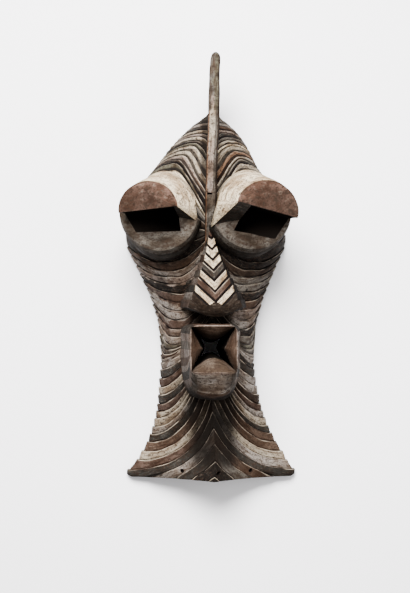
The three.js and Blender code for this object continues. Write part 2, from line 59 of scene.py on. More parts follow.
# The carving's own sizes in millimetres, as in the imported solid
LENGTH = 600.0
HALF_WIDTH = 122.0
FACE_DEPTH = 122.0
WALL = 12.0
BAND_COUNT = 52
BAND_RELIEF = 3.4
RELIEF_TO_SPACING = 0.33
EYE_YAW = 13.0
EYE_SPREAD = 81.5
EYE_SHIFT = -5.5
EYE_RISE = 62.0
EYE_HEIGHT = 0.6275 * LENGTH
LID_SETBACK = 23.0
VISOR_EDGE = -1.0
VISOR_LENGTH = 125.0
VISOR_BASE_HIGHER = 20.0
VISOR_OUTER_DRAW = 5.0
INNER_RUN = 38.0
NOSE_TOP = 0.5835 * LENGTH
NOSE_TIP = 0.4208 * LENGTH
NOSE_UNDERSIDE = 30.0
NOSE_HALF_TOP = 2.5
NOSE_HALF_TIP = 30.5
NOSE_RISE_TOP = 6.0
NOSE_RISE_TIP = 58.0
NOSE_FACET = 0.34
NOSE_ROOT = 55.0
NOSE_FLARE = 10.0
NOSE_ARC = 11.0
NOSE_ARC_DROP = 14.0
NOSE_TUCK = 46.0
CHEVRON_PITCH = 14.4
CHEVRON_COUNT = 10
CHEVRON_RELIEF = 2.4
MOUTH_CENTRE = 0.3133 * LENGTH
MOUTH_RISE = 76.0
LIP_HALF = 32.5
LIP_EDGE = 1.8
LIP_DEPTH = 22.0
CREST_THICKNESS = 15.6
CREST_TIP_THICKNESS = 14.4
CREST_LEAN = 3.0
CREST_ROUND = 4.5
EDGE_HOLE_RADIUS = 2.6
EDGE_HOLE_PITCH = 49.0
EDGE_HOLE_SHIFT = 5.0
EDGE_HOLE_HEIGHT = 12.0
EDGE_HOLE_SLANT = 0.4
EDGE_HOLE_END = 1.2
NOTCH_LEVEL = 0.6645  # the notch at the crest's foot, as a share of LENGTH
NOTCH_HALF = 1.5
NOTCH_REACH = 5.5
NOTCH_DEPTH = 5.0
CROWN_SHIFT = 5.0  # how far the crown stands over to the leaning crest's side
FURROW_DEPTH = 7.0

# Pigments and woods as they look after long wear, and what each one is
PIGMENTS = {
    "white": ("#bcad94", "Kaolin on the hoods, the nose and the brightest bands"),
    "cream": ("#817769", "Kaolin yellowed by handling"),
    "pink_cream": ("#72655c", "Kaolin rubbed over red earth"),
    "pale_grey": ("#6e6761", "Kaolin thinned by wear"),
    "grey": ("#4d4944", "Ash and worn kaolin"),
    "pink_grey": ("#6a605a", "Faded red earth with ash"),
    "olive_grey": ("#47443a", "Ash with a greenish cast"),
    "charcoal": ("#262523", "Charcoal rubbed thin"),
    "black": ("#100f0f", "Charcoal at full strength"),
    "brown": ("#3c2f27", "Oiled wood showing through"),
    "red_brown": ("#49372f", "Camwood and red earth"),
    "dull_red": ("#3d302a", "Camwood dulled by smoke"),
    "orange_brown": ("#654d3c", "Red earth where it is freshest"),
    "dark_brown": ("#241c17", "Smoked wood"),
    "bare_wood": ("#3f362f", "Wood rubbed clean of pigment"),
    # The brown under the nose is painted darker, as the shade under the nose
    "nose_brown": ("#211b17", "Smoked wood under the nose"),
}

# The stripe on each band from the crown down to the beard's edge, on the two sides of the mask
LEFT_STRIPES = """
    charcoal grey charcoal pale_grey charcoal cream pink_grey cream black olive_grey cream cream pink_cream
    black olive_grey white grey dark_brown charcoal black brown pale_grey pink_grey black dull_red pale_grey
    pale_grey dull_red pink_grey pale_grey olive_grey grey brown pale_grey pale_grey charcoal dull_red cream
    charcoal dull_red cream cream pale_grey charcoal brown cream dull_red charcoal pale_grey charcoal black
    black
""".split()
RIGHT_STRIPES = """
    charcoal olive_grey grey pale_grey brown pink_cream charcoal grey cream white cream orange_brown cream
    charcoal cream white grey dark_brown charcoal black black dark_brown grey grey black brown pink_grey
    pale_grey black grey olive_grey grey pale_grey pale_grey black charcoal pale_grey pale_grey
    dark_brown dull_red pale_grey cream charcoal brown brown cream pale_grey charcoal brown grey black black
""".split()
FLANK_STRIPES = "pink_grey charcoal pale_grey brown pink_grey grey".split()
CHEVRON_STRIPES = "dull_red white white white charcoal white dull_red white nose_brown nose_brown".split()

# The studio, in metres, but for the camera's turn about the mask's long axis in degrees
FLOOR_HALF = 6.0
VIEW_HEIGHT = 0.85807
VIEW_CENTRE = (-0.0018, -0.041, 0.0)
CAMERA_TURN = 3.0

FRAME_MIDDLE = 1.8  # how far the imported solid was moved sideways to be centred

# The mask's material slots; the last is the near-black painted shade of the openings
PIGMENTED, BARE, SHADE_BLACK = range(3)

SEED = 7


def curve_through(stations):
    """A smooth curve through stations (at, value): a cubic on each span, whose slope at a station is the
    harmonic mean of the slopes on its two sides, or level at a turning point, so it never overshoots."""
    at, value = np.array(stations, float).T
    slopes = np.diff(value) / np.diff(at)
    before = np.concatenate([slopes[:1], slopes])
    after = np.concatenate([slopes, slopes[-1:]])
    same_way = before * after > 0
    tangents = np.where(same_way, 2 * before * after / np.where(same_way, before + after, 1), 0)

    def curve(x):
        """The value of the cubic of the span that x lies in."""
        x = np.asarray(x, float)
        i = np.clip(np.searchsorted(at, x, side="left") - 1, 0, len(at) - 2)
        step = at[i + 1] - at[i]
        s = np.clip((x - at[i]) / step, 0, 1)
        rise = step * (tangents[i] * s * (1 - s) ** 2 - tangents[i + 1] * s * s * (1 - s))
        return value[i] + (value[i + 1] - value[i]) * s * s * (3 - 2 * s) + rise

    return curve


def smooth_step(x, low, high):
    """0 below low, 1 above high, and an even S between them."""
    s = np.clip((np.asarray(x, float) - low) / (high - low), 0, 1)
    return s * s * (3 - 2 * s)


def fading(x, low, high):
    """1 below low, 0 above high, and an even S between them."""
    return 1 - smooth_step(x, low, high)


def blend(a, b, s):
    """The value that lies the share s of the way from a to b."""
    return a + (b - a) * s


LATTICE_SIZE = 32  # points along each side of the noise's lattice before it repeats


def lattice_noise(points, cell, seed):
    """Smooth noise from -1 to 1 for points in an array of any shape: random values on a wrapped cubic
    lattice of that cell size in millimetres, blended inside each cell with an even S along each axis."""
    values = np.random.default_rng(seed).uniform(-1, 1, (LATTICE_SIZE,) * 3)
    q = points / cell
    base = np.floor(q).astype(int)
    s = q - base
    s = s * s * (3 - 2 * s)
    total = np.zeros(points.shape[:-1])
    for corner in np.ndindex(2, 2, 2):
        index = (base + corner) % LATTICE_SIZE
        weight = np.prod(np.where(corner, s, 1 - s), axis=-1)
        total += weight * values[tuple(np.moveaxis(index, -1, 0))]
    return total


# The bare shell's half width, depth and sideways wander along the face, as shares of its main sizes
width_share = curve_through([
    (-0.05, 0.93), (0, 0.945), (0.004, 0.978), (0.009, 0.988), (0.015, 0.98), (0.022, 0.94), (0.03, 0.905),
    (0.05, 0.845), (0.088, 0.74), (0.135, 0.65), (0.185, 0.59), (0.28, 0.542), (0.352, 0.562), (0.423, 0.65),
    (0.506, 0.825), (0.565, 0.935), (0.625, 0.9), (0.71, 0.7), (0.745, 0.585), (0.781, 0.472),
    (0.828, 0.285), (0.86, 0.09), (0.872, 0.03),
])
depth_share = curve_through([
    (-0.05, 0.78), (0, 0.75), (0.09, 0.69), (0.185, 0.74), (0.28, 0.82), (0.42, 0.85), (0.5, 0.92),
    (0.577, 1), (0.64, 1), (0.71, 0.9), (0.78, 0.69), (0.83, 0.46), (0.86, 0.22), (0.872, 0.08),
])
axis_shift = curve_through([
    (0, 8), (0.05, 10), (0.13, 7.5), (0.24, 3.4), (0.42, 2.6), (0.544, 1), (0.65, 0), (0.74, 0.6),
    (0.8, 2.6), (0.86, 4.0), (0.93, 5.6), (1, 10),
])


def prow_share(y):
    """How far the section has turned from a round one into the beard's prow."""
    return fading(y / LENGTH, 0.05, 0.29)


def crown_shift(y):
    """How far the crown stands over to the leaning crest's side: nothing at the brow, all at the top."""
    return CROWN_SHIFT * smooth_step(y / LENGTH, 0.7, 0.85)


def furrow_depth(y):
    """Depth of the groove on each side of the crest's foot: nothing at the eyes, all above them."""
    return FURROW_DEPTH * smooth_step(y / LENGTH, 0.6, 0.7)


ROUND_POWER = 2.3
PROW_POWER = 1.8  # the prow's profile falls from its ridge by this power of what is left to the rim
FLANK_SHARE = 0.17  # how much of the prow's profile is a nearly square flank instead
FLANK_POWER = 8
FURROW_WIDTH = 0.2  # as a share of the half width


def round_section(t):
    """A superellipse from the axis (t = 0) to the rim (t = 1)."""
    return np.clip(1 - t**ROUND_POWER, 0, None) ** (1 / ROUND_POWER)


def shell_point(t, y):
    """A point of the bare shell: across by t times the half width, out by the depth times a section that
    goes from a superellipse above to a prow with hollow flanks below, less the furrow beside the crest."""
    t, y = np.broadcast_arrays(np.asarray(t, float), np.asarray(y, float))
    across = np.clip(np.abs(t), 0, 1)
    flank = np.clip(1 - across**FLANK_POWER, 0, None) ** (1 / FLANK_POWER)
    pointed = FLANK_SHARE * flank + (1 - FLANK_SHARE) * (1 - across) ** PROW_POWER
    section = blend(round_section(across), pointed, prow_share(y))
    depth = FACE_DEPTH * depth_share(y / LENGTH)
    furrow = furrow_depth(y) * np.exp(-((across / FURROW_WIDTH) ** 2)) * np.minimum(depth / FACE_DEPTH, 1)
    z = np.maximum(depth * section - furrow, 0)
    return np.stack([t * HALF_WIDTH * width_share(y / LENGTH) + crown_shift(y), y, z], axis=-1)


SLOPE_REACH = 0.02  # how far across the slope is taken, as a share of the half width
SLOPE_STEP = 2  # millimetres up and down the log over which the slope is taken


def shell_normal(t, y):
    """The shell's outward direction: the cross product of its two slopes, taken by small differences."""
    side = np.where(t < 0, -1.0, 1.0)
    near = np.maximum(np.abs(t) - SLOPE_REACH, -SLOPE_REACH)
    far = np.minimum(np.maximum(np.abs(t), SLOPE_REACH) + SLOPE_REACH / 4, 1)
    along_t = (shell_point(side * far, y) - shell_point(side * near, y)) * side[..., None]
    # On the axis itself the section is level across
    along_t[np.abs(t) < 0.001] = (1, 0, 0)
    along_y = shell_point(t, y + SLOPE_STEP) - shell_point(t, y - SLOPE_STEP)
    normal = np.cross(along_t, along_y)
    return normal / np.linalg.norm(normal, axis=-1, keepdims=True)


# A band's number, then its height on the axis, at its turning point and at the rim, as shares of LENGTH,
# then where it turns, as a share of the half width, and how sharply it leaves the axis
FLOW = np.array([
    (0, 0.872, 0.872, 0.872, 0.5, 2),
    (3, 0.836, 0.841, 0.8285, 0.3, 2),
    (6, 0.798, 0.8136, 0.799, 0.4, 2),
    (8, 0.7637, 0.796, 0.778, 0.45, 1.9),
    (10, 0.7298, 0.7827, 0.7585, 0.52, 1.8),
    (11, 0.6916, 0.77, 0.749, 0.56, 1.7),
    (12, 0.659, 0.759, 0.7405, 0.6, 1.6),
    (13, 0.6407, 0.7497, 0.732, 0.62, 1.6),
    (15, 0.6015, 0.7218, 0.703, 0.62, 1.8),
    (20, 0.571, 0.512, 0.552, 0.55, 2),
    (23, 0.527, 0.459, 0.488, 0.5, 2),
    (27, 0.444, 0.377, 0.414, 0.62, 2),
    (30, 0.403, 0.318, 0.359, 0.8, 1.9),
    (34, 0.38, 0.272, 0.273, 1, 1.45),
    (39, 0.353, 0.175, 0.176, 1, 1.8),
    (43, 0.331, 0.102, 0.103, 1, 2.15),
    (45, 0.239, 0.059, 0.06, 1, 2.35),
    (47, 0.162, 0.018, 0.019, 1, 2.35),
    (BAND_COUNT, -0.025, -0.095, -0.094, 1, 2.35),
])
flow_curves = [curve_through(FLOW[:, [0, column]]) for column in range(1, 6)]
RIM_POWER = 3.2


def band_height(t, band):
    """How high a band's edge runs: from the axis to its turning point by one power curve, and from there
    to the rim by another."""
    t, band = np.broadcast_arrays(np.asarray(t, float), np.asarray(band, float))
    axis, middle, rim, turn, power = (curve(band) for curve in flow_curves)
    inner = middle + (axis - middle) * np.clip(1 - t / turn, 0, None) ** power
    outward = np.clip((t - turn) / np.maximum(1 - turn, 1e-6), 0, None)
    return LENGTH * np.where(t <= turn, inner, middle + (rim - middle) * outward**RIM_POWER)


def stripe_of(name):
    """A pigment's number, which a face carries until the carving is whole."""
    return list(PIGMENTS).index(name)


def stripes_of(names):
    """The numbers of several pigments, as an array."""
    return np.array([stripe_of(name) for name in names])


def linear(hex_colour):
    """An sRGB hex colour as linear red, green and blue."""
    parts = [int(hex_colour[i:i + 2], 16) / 255 for i in (1, 3, 5)]
    return tuple(c / 12.92 if c <= 0.04045 else ((c + 0.055) / 1.055) ** 2.4 for c in parts)


def opaque(hex_colour):
    """An sRGB hex colour as a shader socket's linear red, green, blue and alpha."""
    return (*linear(hex_colour), 1)


def linked(name, data):
    """An object for a mesh, lamp or camera, put into the scene."""
    piece = bpy.data.objects.new(name, data)
    bpy.context.collection.objects.link(piece)
    return piece


FAR = 20.0  # millimetres from an edge at which it no longer matters
CAP_GRAIN = (1, 0.4, 1)  # how the pigment's grain is squeezed on the flat ends of a piece


def courses(rings):
    """How far each point lies along its ring, and how far its ring lies from the first, in millimetres."""
    along = np.linalg.norm(np.diff(rings, axis=1), axis=2).cumsum(axis=1)
    along = np.concatenate([np.zeros((len(rings), 1)), along], axis=1)
    across = np.linalg.norm(np.diff(rings, axis=0), axis=2).mean(axis=1).cumsum()
    across = np.concatenate([[0], across])[:, None] * np.ones(rings.shape[1])
    return np.stack([along, across, np.zeros_like(along)], -1)


def loft(name, rings, stripe="bare_wood", edges=None, soot=None, course=None, finish=PIGMENTED,
         caps=("bare_wood", "bare_wood")):
    """A closed solid through rings of equal point counts, with a fan over each end.

    rings is rows by points by 3, in millimetres. stripe is a pigment's name, or a number for each face.
    edges holds two arrays, rows of faces by their upper and lower rows by points: how far a point lies
    below its band's upper edge and above its lower one, which the material turns into a painted highlight
    and painted groove shade. The argument after edges is a value for each point: its darkening, partly
    real and partly painted shade; course is its place in the grain of the pigment. finish is the material
    slot, and caps the pigments of the ends."""
    rows, count = rings.shape[:2]
    row, point = np.meshgrid(np.arange(rows - 1), np.arange(count), indexing="ij")
    beside = (point + 1) % count
    upper, lower = row * count, (row + 1) * count
    quads = np.stack([upper + point, upper + beside, lower + beside, lower + point], -1).reshape(-1, 4)
    around = np.arange(count)
    after = (around + 1) % count
    last_row = (rows - 1) * count
    first_fan = np.stack([after, around, np.full(count, rows * count)], -1)
    last_fan = np.stack([last_row + around, last_row + after, np.full(count, rows * count + 1)], -1)
    points = np.concatenate([rings.reshape(-1, 3), [rings[0].mean(axis=0), rings[-1].mean(axis=0)]])
    order = [0, 1, 2, 3]
    corner = points[np.concatenate([quads[:, :3], quads[:, [0, 2, 3]], first_fan, last_fan])]
    if np.einsum("ij,ij->i", corner[:, 0], np.cross(corner[:, 1], corner[:, 2])).sum() < 0:
        order = order[::-1]
        quads, first_fan, last_fan = quads[:, order], first_fan[:, ::-1], last_fan[:, ::-1]

    mesh = bpy.data.meshes.new(name)
    mesh.from_pydata(points, [], quads.tolist() + first_fan.tolist() + last_fan.tolist())
    faces = np.full((rows - 1, count), stripe_of(stripe)) if isinstance(stripe, str) else stripe
    faces = np.concatenate([faces.ravel(), *(np.full(count, stripe_of(cap)) for cap in caps)])
    mesh.attributes.new("stripe", "INT", "FACE").data.foreach_set("value", faces.astype(np.int32))
    corners = np.concatenate([quads.ravel(), first_fan.ravel(), last_fan.ravel()])

    def with_ends(values):
        """Each corner's value, where the two ends' middles take those of the first and the last point."""
        return np.concatenate([values, values[:1], values[-1:]])[corners]

    soot_and_shade_corners = with_ends(np.zeros(rows * count) if soot is None else soot.ravel())
    below, above = (np.full((rows - 1, 2, count), FAR),) * 2 if edges is None else edges
    for label, pair in (("below_arris", below), ("above_groove", above)):
        following = np.roll(pair, -1, axis=2)
        values = np.stack([pair[:, 0], following[:, 0], following[:, 1], pair[:, 1]], -1)[..., order]
        values = np.append(values.ravel(), np.full(6 * count, FAR))
        mesh.attributes.new(label, "FLOAT", "CORNER").data.foreach_set("value", values.astype(np.float32))
    mesh.attributes.new("soot", "FLOAT", "CORNER").data.foreach_set("value", soot_and_shade_corners.astype(np.float32))
    place = with_ends((courses(rings) if course is None else course).reshape(-1, 3))
    place[quads.size:] = points[corners[quads.size:]] * CAP_GRAIN
    grain = mesh.attributes.new("course", "FLOAT_VECTOR", "CORNER")
    grain.data.foreach_set("vector", place.astype(np.float32).ravel())
    for material in finishes():
        mesh.materials.append(material)
    mesh.polygons.foreach_set("material_index", np.full(len(mesh.polygons), finish, np.int32))
    return linked(name, mesh)


HALF_COLUMNS = 72
ARRIS_ROUND = 0.8  # millimetres over which a band's upper edge is rounded
CHEEK_GROOVE = 2.1  # millimetres that the groove above the next band takes on the cheeks
CROWN_GROOVE = 5.6  # and on the forehead and crown
WAVES = (1.3, 2.9, 5.3, 9.7)  # half turns of the slow sines by which an edge strays
COURSE_STEP = 17.0  # millimetres that the pigment's grain is moved on from band to band


def band_profile(width, groove):
    """Rows of a band from its upper edge down: each one's share of the band's width, and its lift. The edge
    is rounded, the top slopes down, and a groove of the given share runs above the next band."""
    edge = np.clip(ARRIS_ROUND / width, 0.03, 0.16)
    top = 2.5 * edge
    slope = 1 - groove - top
    zero = np.zeros_like(width)
    share = [zero, edge, top, top + 0.45 * slope, 1 - groove, 1 - 0.55 * groove, 1 - 0.2 * groove]
    lift = [zero + 0.3, zero + 0.5, zero + 0.47, zero + 0.28, zero - 0.02, zero - 0.42, zero - 0.5]
    return np.array(share), np.array(lift)


def painted_stripe(rings, band, share, lower_share, level):
    """Each face's stripe: its band's own, but slow noise carries a colour over the band's edges, most of
    all on the cheeks. The last column is the flat rim."""
    spill = lattice_noise(rings[:-1] * (1, 1.6, 1), 13, SEED + 8)
    spill *= 0.12 + 0.33 * smooth_step(level, 0.24, 0.34) * fading(level, 0.54, 0.62)
    painted = np.floor(band[:-1, None] + (share[:-1] + lower_share) / 2 + spill).astype(int)
    painted = np.clip(painted, 0, BAND_COUNT - 1)
    on_left = np.arange(rings.shape[1]) < HALF_COLUMNS
    stripe = np.where(on_left, stripes_of(LEFT_STRIPES)[painted], stripes_of(RIGHT_STRIPES)[painted])
    stripe[:, -1] = stripe_of("bare_wood")
    return stripe


def shell_soot_and_shade(rings, t, level):
    """Where the shell is painted darker: down the middle of the chin's prow, round the mouth and under the
    nose, on the inner cheeks, more on the right, at the crown's outer sides and beside the crest, all
    painted shade; and along the cut edge and in patches on the cheeks."""
    across = np.abs(t)
    up_chin = smooth_step(level, 0.05, 0.2)
    chin = fading(across, blend(0.2, 0.35, up_chin), blend(0.5, 0.7, up_chin))
    chin *= fading(level, 0.22, 0.32) * smooth_step(level, 0.0, 0.05)
    under_mouth = fading(across, 0.35, 0.75) * fading(np.abs(level - 0.22), 0.01, 0.07)
    under_nose = fading(across, 0.3, 0.5) * fading(np.abs(level - 0.385), 0.02, 0.06)
    cheek = smooth_step(level, 0.3, 0.36) * fading(level, 0.55, 0.6) * fading(across, 0.15, 0.6)
    crown = smooth_step(level, 0.68, 0.75) * smooth_step(across, 0.3, 0.8)
    cut_edge = fading(level, 0.012, 0.03) * (0.45 + 0.2 * np.sin(9 * t + 1))
    beside_crest = fading(np.abs(rings[..., 0]), 9, 14) * smooth_step(level, 0.58, 0.64)
    patches = smooth_step(lattice_noise(rings, 8, SEED + 11), 0.1, 0.7)
    # Painted shade: the chin's steep middle, round the mouth, under the nose, the inner cheeks, the crown's
    # outer sides and beside the crest are darkened where their shade falls; the cut edge and the cheek
    # patches are darkened as well
    return np.maximum.reduce([
        0.98 * chin, 0.93 * under_mouth, 0.95 * under_nose, np.where(t < 0, 0.2, 0.38) * cheek, 0.2 * crown,
        cut_edge, 0.85 * beside_crest,
        0.6 * patches * smooth_step(level, 0.25, 0.32) * fading(level, 0.6, 0.64),
    ])


def banded_shell(band_relief, edge_waver):
    """The shell's outside: rows of points follow the bands, and each is lifted along the shell's normal by
    the band's profile. Every edge strays by a sum of slow sines with its own random phases."""
    rng = np.random.default_rng(SEED)
    j = np.arange(-HALF_COLUMNS, HALF_COLUMNS + 1)
    t = np.sign(j) * np.sin(np.pi / 2 * np.abs(j) / HALF_COLUMNS) ** 0.9
    across = np.abs(t)
    phases = rng.uniform(0, 2 * np.pi, (BAND_COUNT + 1, len(WAVES)))
    waves = sum(np.sin(turns * np.pi * t + phases[:, k, None]) / (k + 1) for k, turns in enumerate(WAVES))
    height = band_height(across, np.arange(BAND_COUNT + 1)[:, None])
    shift = edge_waver * waves * np.minimum(np.abs(np.gradient(height, axis=0)) / 8, 1)
    edges = shell_point(np.broadcast_to(t, height.shape), height)
    along = np.gradient(edges, axis=1)
    along /= np.linalg.norm(along, axis=2, keepdims=True)
    over = np.diff(edges, axis=0)
    over -= (over * along[:-1]).sum(axis=2, keepdims=True) * along[:-1]
    width = np.maximum(np.linalg.norm(over, axis=2), 1.0)

    groove = blend(CHEEK_GROOVE, CROWN_GROOVE, smooth_step(height[:-1] / LENGTH, 0.58, 0.66))
    groove = np.clip(groove / width, 0.12, 0.5)
    share, lift = band_profile(width, groove)
    profile_rows = len(share)
    band = np.repeat(np.arange(BAND_COUNT), profile_rows)
    share, lift = (np.swapaxes(values, 0, 1).reshape(len(band), -1) for values in (share, lift))
    width = width[band]
    y = band_height(across, band[:, None] + share) + blend(shift[band], shift[band + 1], share)
    t = np.broadcast_to(t, y.shape)
    level = y / LENGTH
    at_rim = blend(0.1, -0.2, smooth_step(level, 0.2, 0.34)) * smooth_step(across, 0.8, 1)
    strength = rng.uniform(0.8, 1.2, BAND_COUNT)[band][:, None] * (1 + at_rim)
    relief = np.minimum(band_relief, RELIEF_TO_SPACING * width) * lift * strength
    rings = shell_point(t, y) + shell_normal(t, y) * relief[..., None]
    rings[:, [0, -1], 2] = 0

    lower_share = share[1:].copy()
    lower_share[profile_rows - 1::profile_rows] = 1.0
    shares = np.stack([share[:-1], lower_share], axis=1)
    upper_level = level[:-1]
    cheeks = smooth_step(upper_level, 0.26, 0.34) * fading(upper_level, 0.56, 0.6)
    # How far each face's corners lie below its band's upper edge, for the painted highlight there, which is
    # weaker on the cheeks, and above the next band, for the painted shade in the groove, which fades in
    # places below the forehead and reaches further up on the forehead and crown
    below = shares * width[:-1, None] + 0.6 * cheeks[:, None]
    faint = np.clip(lattice_noise(rings[:-1], 13, SEED + 6), 0, 1)
    faint = (0.4 + 1.7 * faint) * fading(upper_level, 0.56, 0.64)
    deeper = blend(1, 0.7, smooth_step(upper_level, 0.58, 0.66))
    above = (1 - shares) / groove[band][:-1, None] * deeper[:, None] + faint[:, None]
    course = courses(rings)
    course[..., 1] += COURSE_STEP * band[:, None]
    stripe = painted_stripe(rings, band, share, lower_share, upper_level)
    return loft("shell", rings, stripe, (below, above), shell_soot_and_shade(rings, t, level), course,
                caps=("dark_brown", "black"))


HOLLOW_OVERRUN = 20.0  # millimetres that the trough is run out past the beard and the rim
HOLLOW_TOP = 0.83 * LENGTH
HOLLOW_POWER = 1.65  # how the trough's profile falls from its ridge in the prow
SCOOP_DEPTH = 0.5


def hollow():
    """The trough inside: the shell's section drawn in by the wall, run out past the beard and the rim, with
    the shallow scoops of a gouge."""
    y = np.linspace(-HOLLOW_OVERRUN, HOLLOW_TOP, 70)
    held = np.maximum(y, 0)
    prow = prow_share(y)
    half = HALF_WIDTH * width_share(np.maximum(held / LENGTH, 0.013)) - WALL
    depth = FACE_DEPTH * depth_share(held / LENGTH) - furrow_depth(y) - WALL * (1 + 0.5 * prow)
    j = np.arange(-24, 25)
    t = np.sin(np.pi / 2 * np.abs(j) / 24)
    section = blend(round_section(t)[None, :], ((1 - t) ** HOLLOW_POWER)[None, :], prow[:, None])
    # The gouge's strokes follow each other in wavering rows, and fade out at the rim
    strokes = np.sin(y[:, None] / 4.1 + 1.7 * np.sin(j[None, :] / 3.3))
    scoops = SCOOP_DEPTH * strokes * np.sin(j[None, :] / 1.6)
    middle = crown_shift(y)
    x = np.sign(j) * t * half[:, None] + middle[:, None]
    z = depth[:, None] * section + scoops * (section > 0.15)
    trough = np.stack([x, np.broadcast_to(y[:, None], x.shape), z], -1)
    low = np.full(len(y), -HOLLOW_OVERRUN)
    feet = np.stack([np.stack([middle + half, y, low], -1), np.stack([middle - half, y, low], -1)], axis=1)
    return loft("hollow", np.concatenate([trough, feet], axis=1), "dark_brown", finish=BARE)


def eye_matrix(side, roll):
    """An eye's own frame, x outwards, y up, z along the eye from the visor's face: rolled, then yawed
    outwards, then mirrored for the left eye and put in its place."""
    yaw, tilt = math.radians(EYE_YAW), math.radians(-roll)
    turn = np.array([(math.cos(yaw), 0, math.sin(yaw)), (0, 1, 0), (-math.sin(yaw), 0, math.cos(yaw))])
    cosine, sine = math.cos(tilt), math.sin(tilt)
    roll_about = np.array([(cosine, -sine, 0), (sine, cosine, 0), (0, 0, 1)])
    place = np.array([side * EYE_SPREAD + EYE_SHIFT, EYE_HEIGHT, FACE_DEPTH + EYE_RISE])
    return np.diag([side, 1, 1]) @ turn @ roll_about, place


def in_eye(eye, points):
    """Points in an eye's own frame, turned by its matrix and moved to its place."""
    matrix, place = eye_matrix(eye["side"], eye["roll"])
    return points @ matrix.T + place


EYES = (
    {
        "side": -1, "roll": 5.7, "half": 40.5, "height": 36.5, "inward": 18.5, "drop": 21.0, "lid_shift": 0.0,
        "lid_soot_and_shade": 0.3, "flecks": 0.1, "slot": [(-36, -1), (38, -1), (26, -28), (-36, -33)],
    },
    {
        "side": 1, "roll": 14.0, "half": 43.5, "height": 38.0, "inward": 17.0, "drop": 37.0, "lid_shift": 4.0,
        "lid_soot_and_shade": 0.42, "flecks": 0.35, "slot": [(-25, -1), (41, -1), (28, -33), (-32, -37)],
    },
)
ARC_STEPS = 56
LID_LAP = 2.0  # millimetres that a lid runs up into its visor


def swell_at(back):
    """How far the visor has swelled towards its base, from 0 at its face to 1."""
    return np.minimum(1.35 * back / VISOR_LENGTH, 1) ** 0.8


def inner_corner(eye, back):
    """How far in and down the hood's lower inner corner lies, from its face to where it meets the nose."""
    run = np.minimum(back / INNER_RUN, 1) ** 0.9
    return eye["inward"] * run - 0.16 * np.maximum(back - INNER_RUN, 0), eye["drop"] * run


def half_rings(centre, half, high, inner, outer, z, up):
    """Rings of part of an ellipse each, from its inner end over the arc to its outer end, closed by a
    straight edge. A visor's arc starts level with its centre, and a lid's starts at the edge's inner end."""
    sizes = [np.atleast_1d(size) for size in (centre, half, high, inner, outer, z)]
    centre, half, high, inner, outer, z = np.broadcast_arrays(*sizes)
    start = np.pi - (np.arcsin(np.clip(-inner / high, 0, 1)) if up < 0 else 0 * inner)
    angle = start[:, None] * (1 - np.arange(ARC_STEPS + 1) / ARC_STEPS)
    x = centre[:, None] + half[:, None] * np.cos(angle)
    y = up * high[:, None] * np.sin(angle)
    lap = LID_LAP if up < 0 else 0.0
    edge_x = np.stack([centre + half, x[:, 0]], -1)
    edge_y = np.stack([outer + lap, inner + lap], -1)
    x, y = np.concatenate([x, edge_x], 1), np.concatenate([y, edge_y], 1)
    return np.stack([x, y, np.broadcast_to(z[:, None], x.shape)], -1)


# Millimetres behind the visor's face, and how much its edge is worn away there
WORN_FACE = np.array([(1.4, 0.1), (0.5, 0.5), (0.0, 1.4)])


def visor(eye):
    """The hood: half ellipses that swell from the flat half disc of its face to a broad base in the
    forehead, drawn in and down on the nose's side. The face's edge is a little rounded."""
    back = VISOR_LENGTH * (1 - np.linspace(0, 1, 44) ** 1.6)
    back = np.concatenate([back[:-1], WORN_FACE[:, 0]])
    worn = np.concatenate([np.zeros(len(back) - len(WORN_FACE)), WORN_FACE[:, 1]])
    swell = swell_at(back)
    inward, drop = inner_corner(eye, back)
    outer_end = eye["half"] - VISOR_OUTER_DRAW * swell
    inner_end = -eye["half"] - inward
    half = (outer_end - inner_end) / 2 - worn
    high = eye["height"] + VISOR_BASE_HIGHER * swell - worn
    inner_edge = VISOR_EDGE - drop + 0.4 * worn
    rings = half_rings((outer_end + inner_end) / 2, half, high, inner_edge, VISOR_EDGE, -back, 1)
    stripe = np.full((len(back) - 1, rings.shape[1]), stripe_of("white"))
    stripe[-2:] = stripe_of("red_brown")
    # The flat underside is painted charcoal, as painted shade under the hood
    stripe[:, ARC_STEPS + 1] = stripe_of("charcoal")
    round_arc = np.arange(rings.shape[1]) / ARC_STEPS
    # The arc is darker towards its outer end, with dark flecks
    flecks = np.clip(lattice_noise(rings, 6, SEED + 10), 0, 1)
    soot = 0.55 * smooth_step(round_arc, 0.5, 0.9) + eye["flecks"] * flecks
    return loft("visor", in_eye(eye, rings), stripe, soot=soot, caps=("white", "red_brown"))


# Millimetres behind the lid's face, how much wider than the visor it is there, how tall and how far inwards
LID_STATIONS = [(12, 14, 56, 9), (24, 16, 62, 7), (55, 17, 67, 3), (100, 17, 71, 1)]
LID_MIDDLE = (8, 6)  # half width and height of the small ellipse in the middle of the face
LID_FACE_RINGS = 16


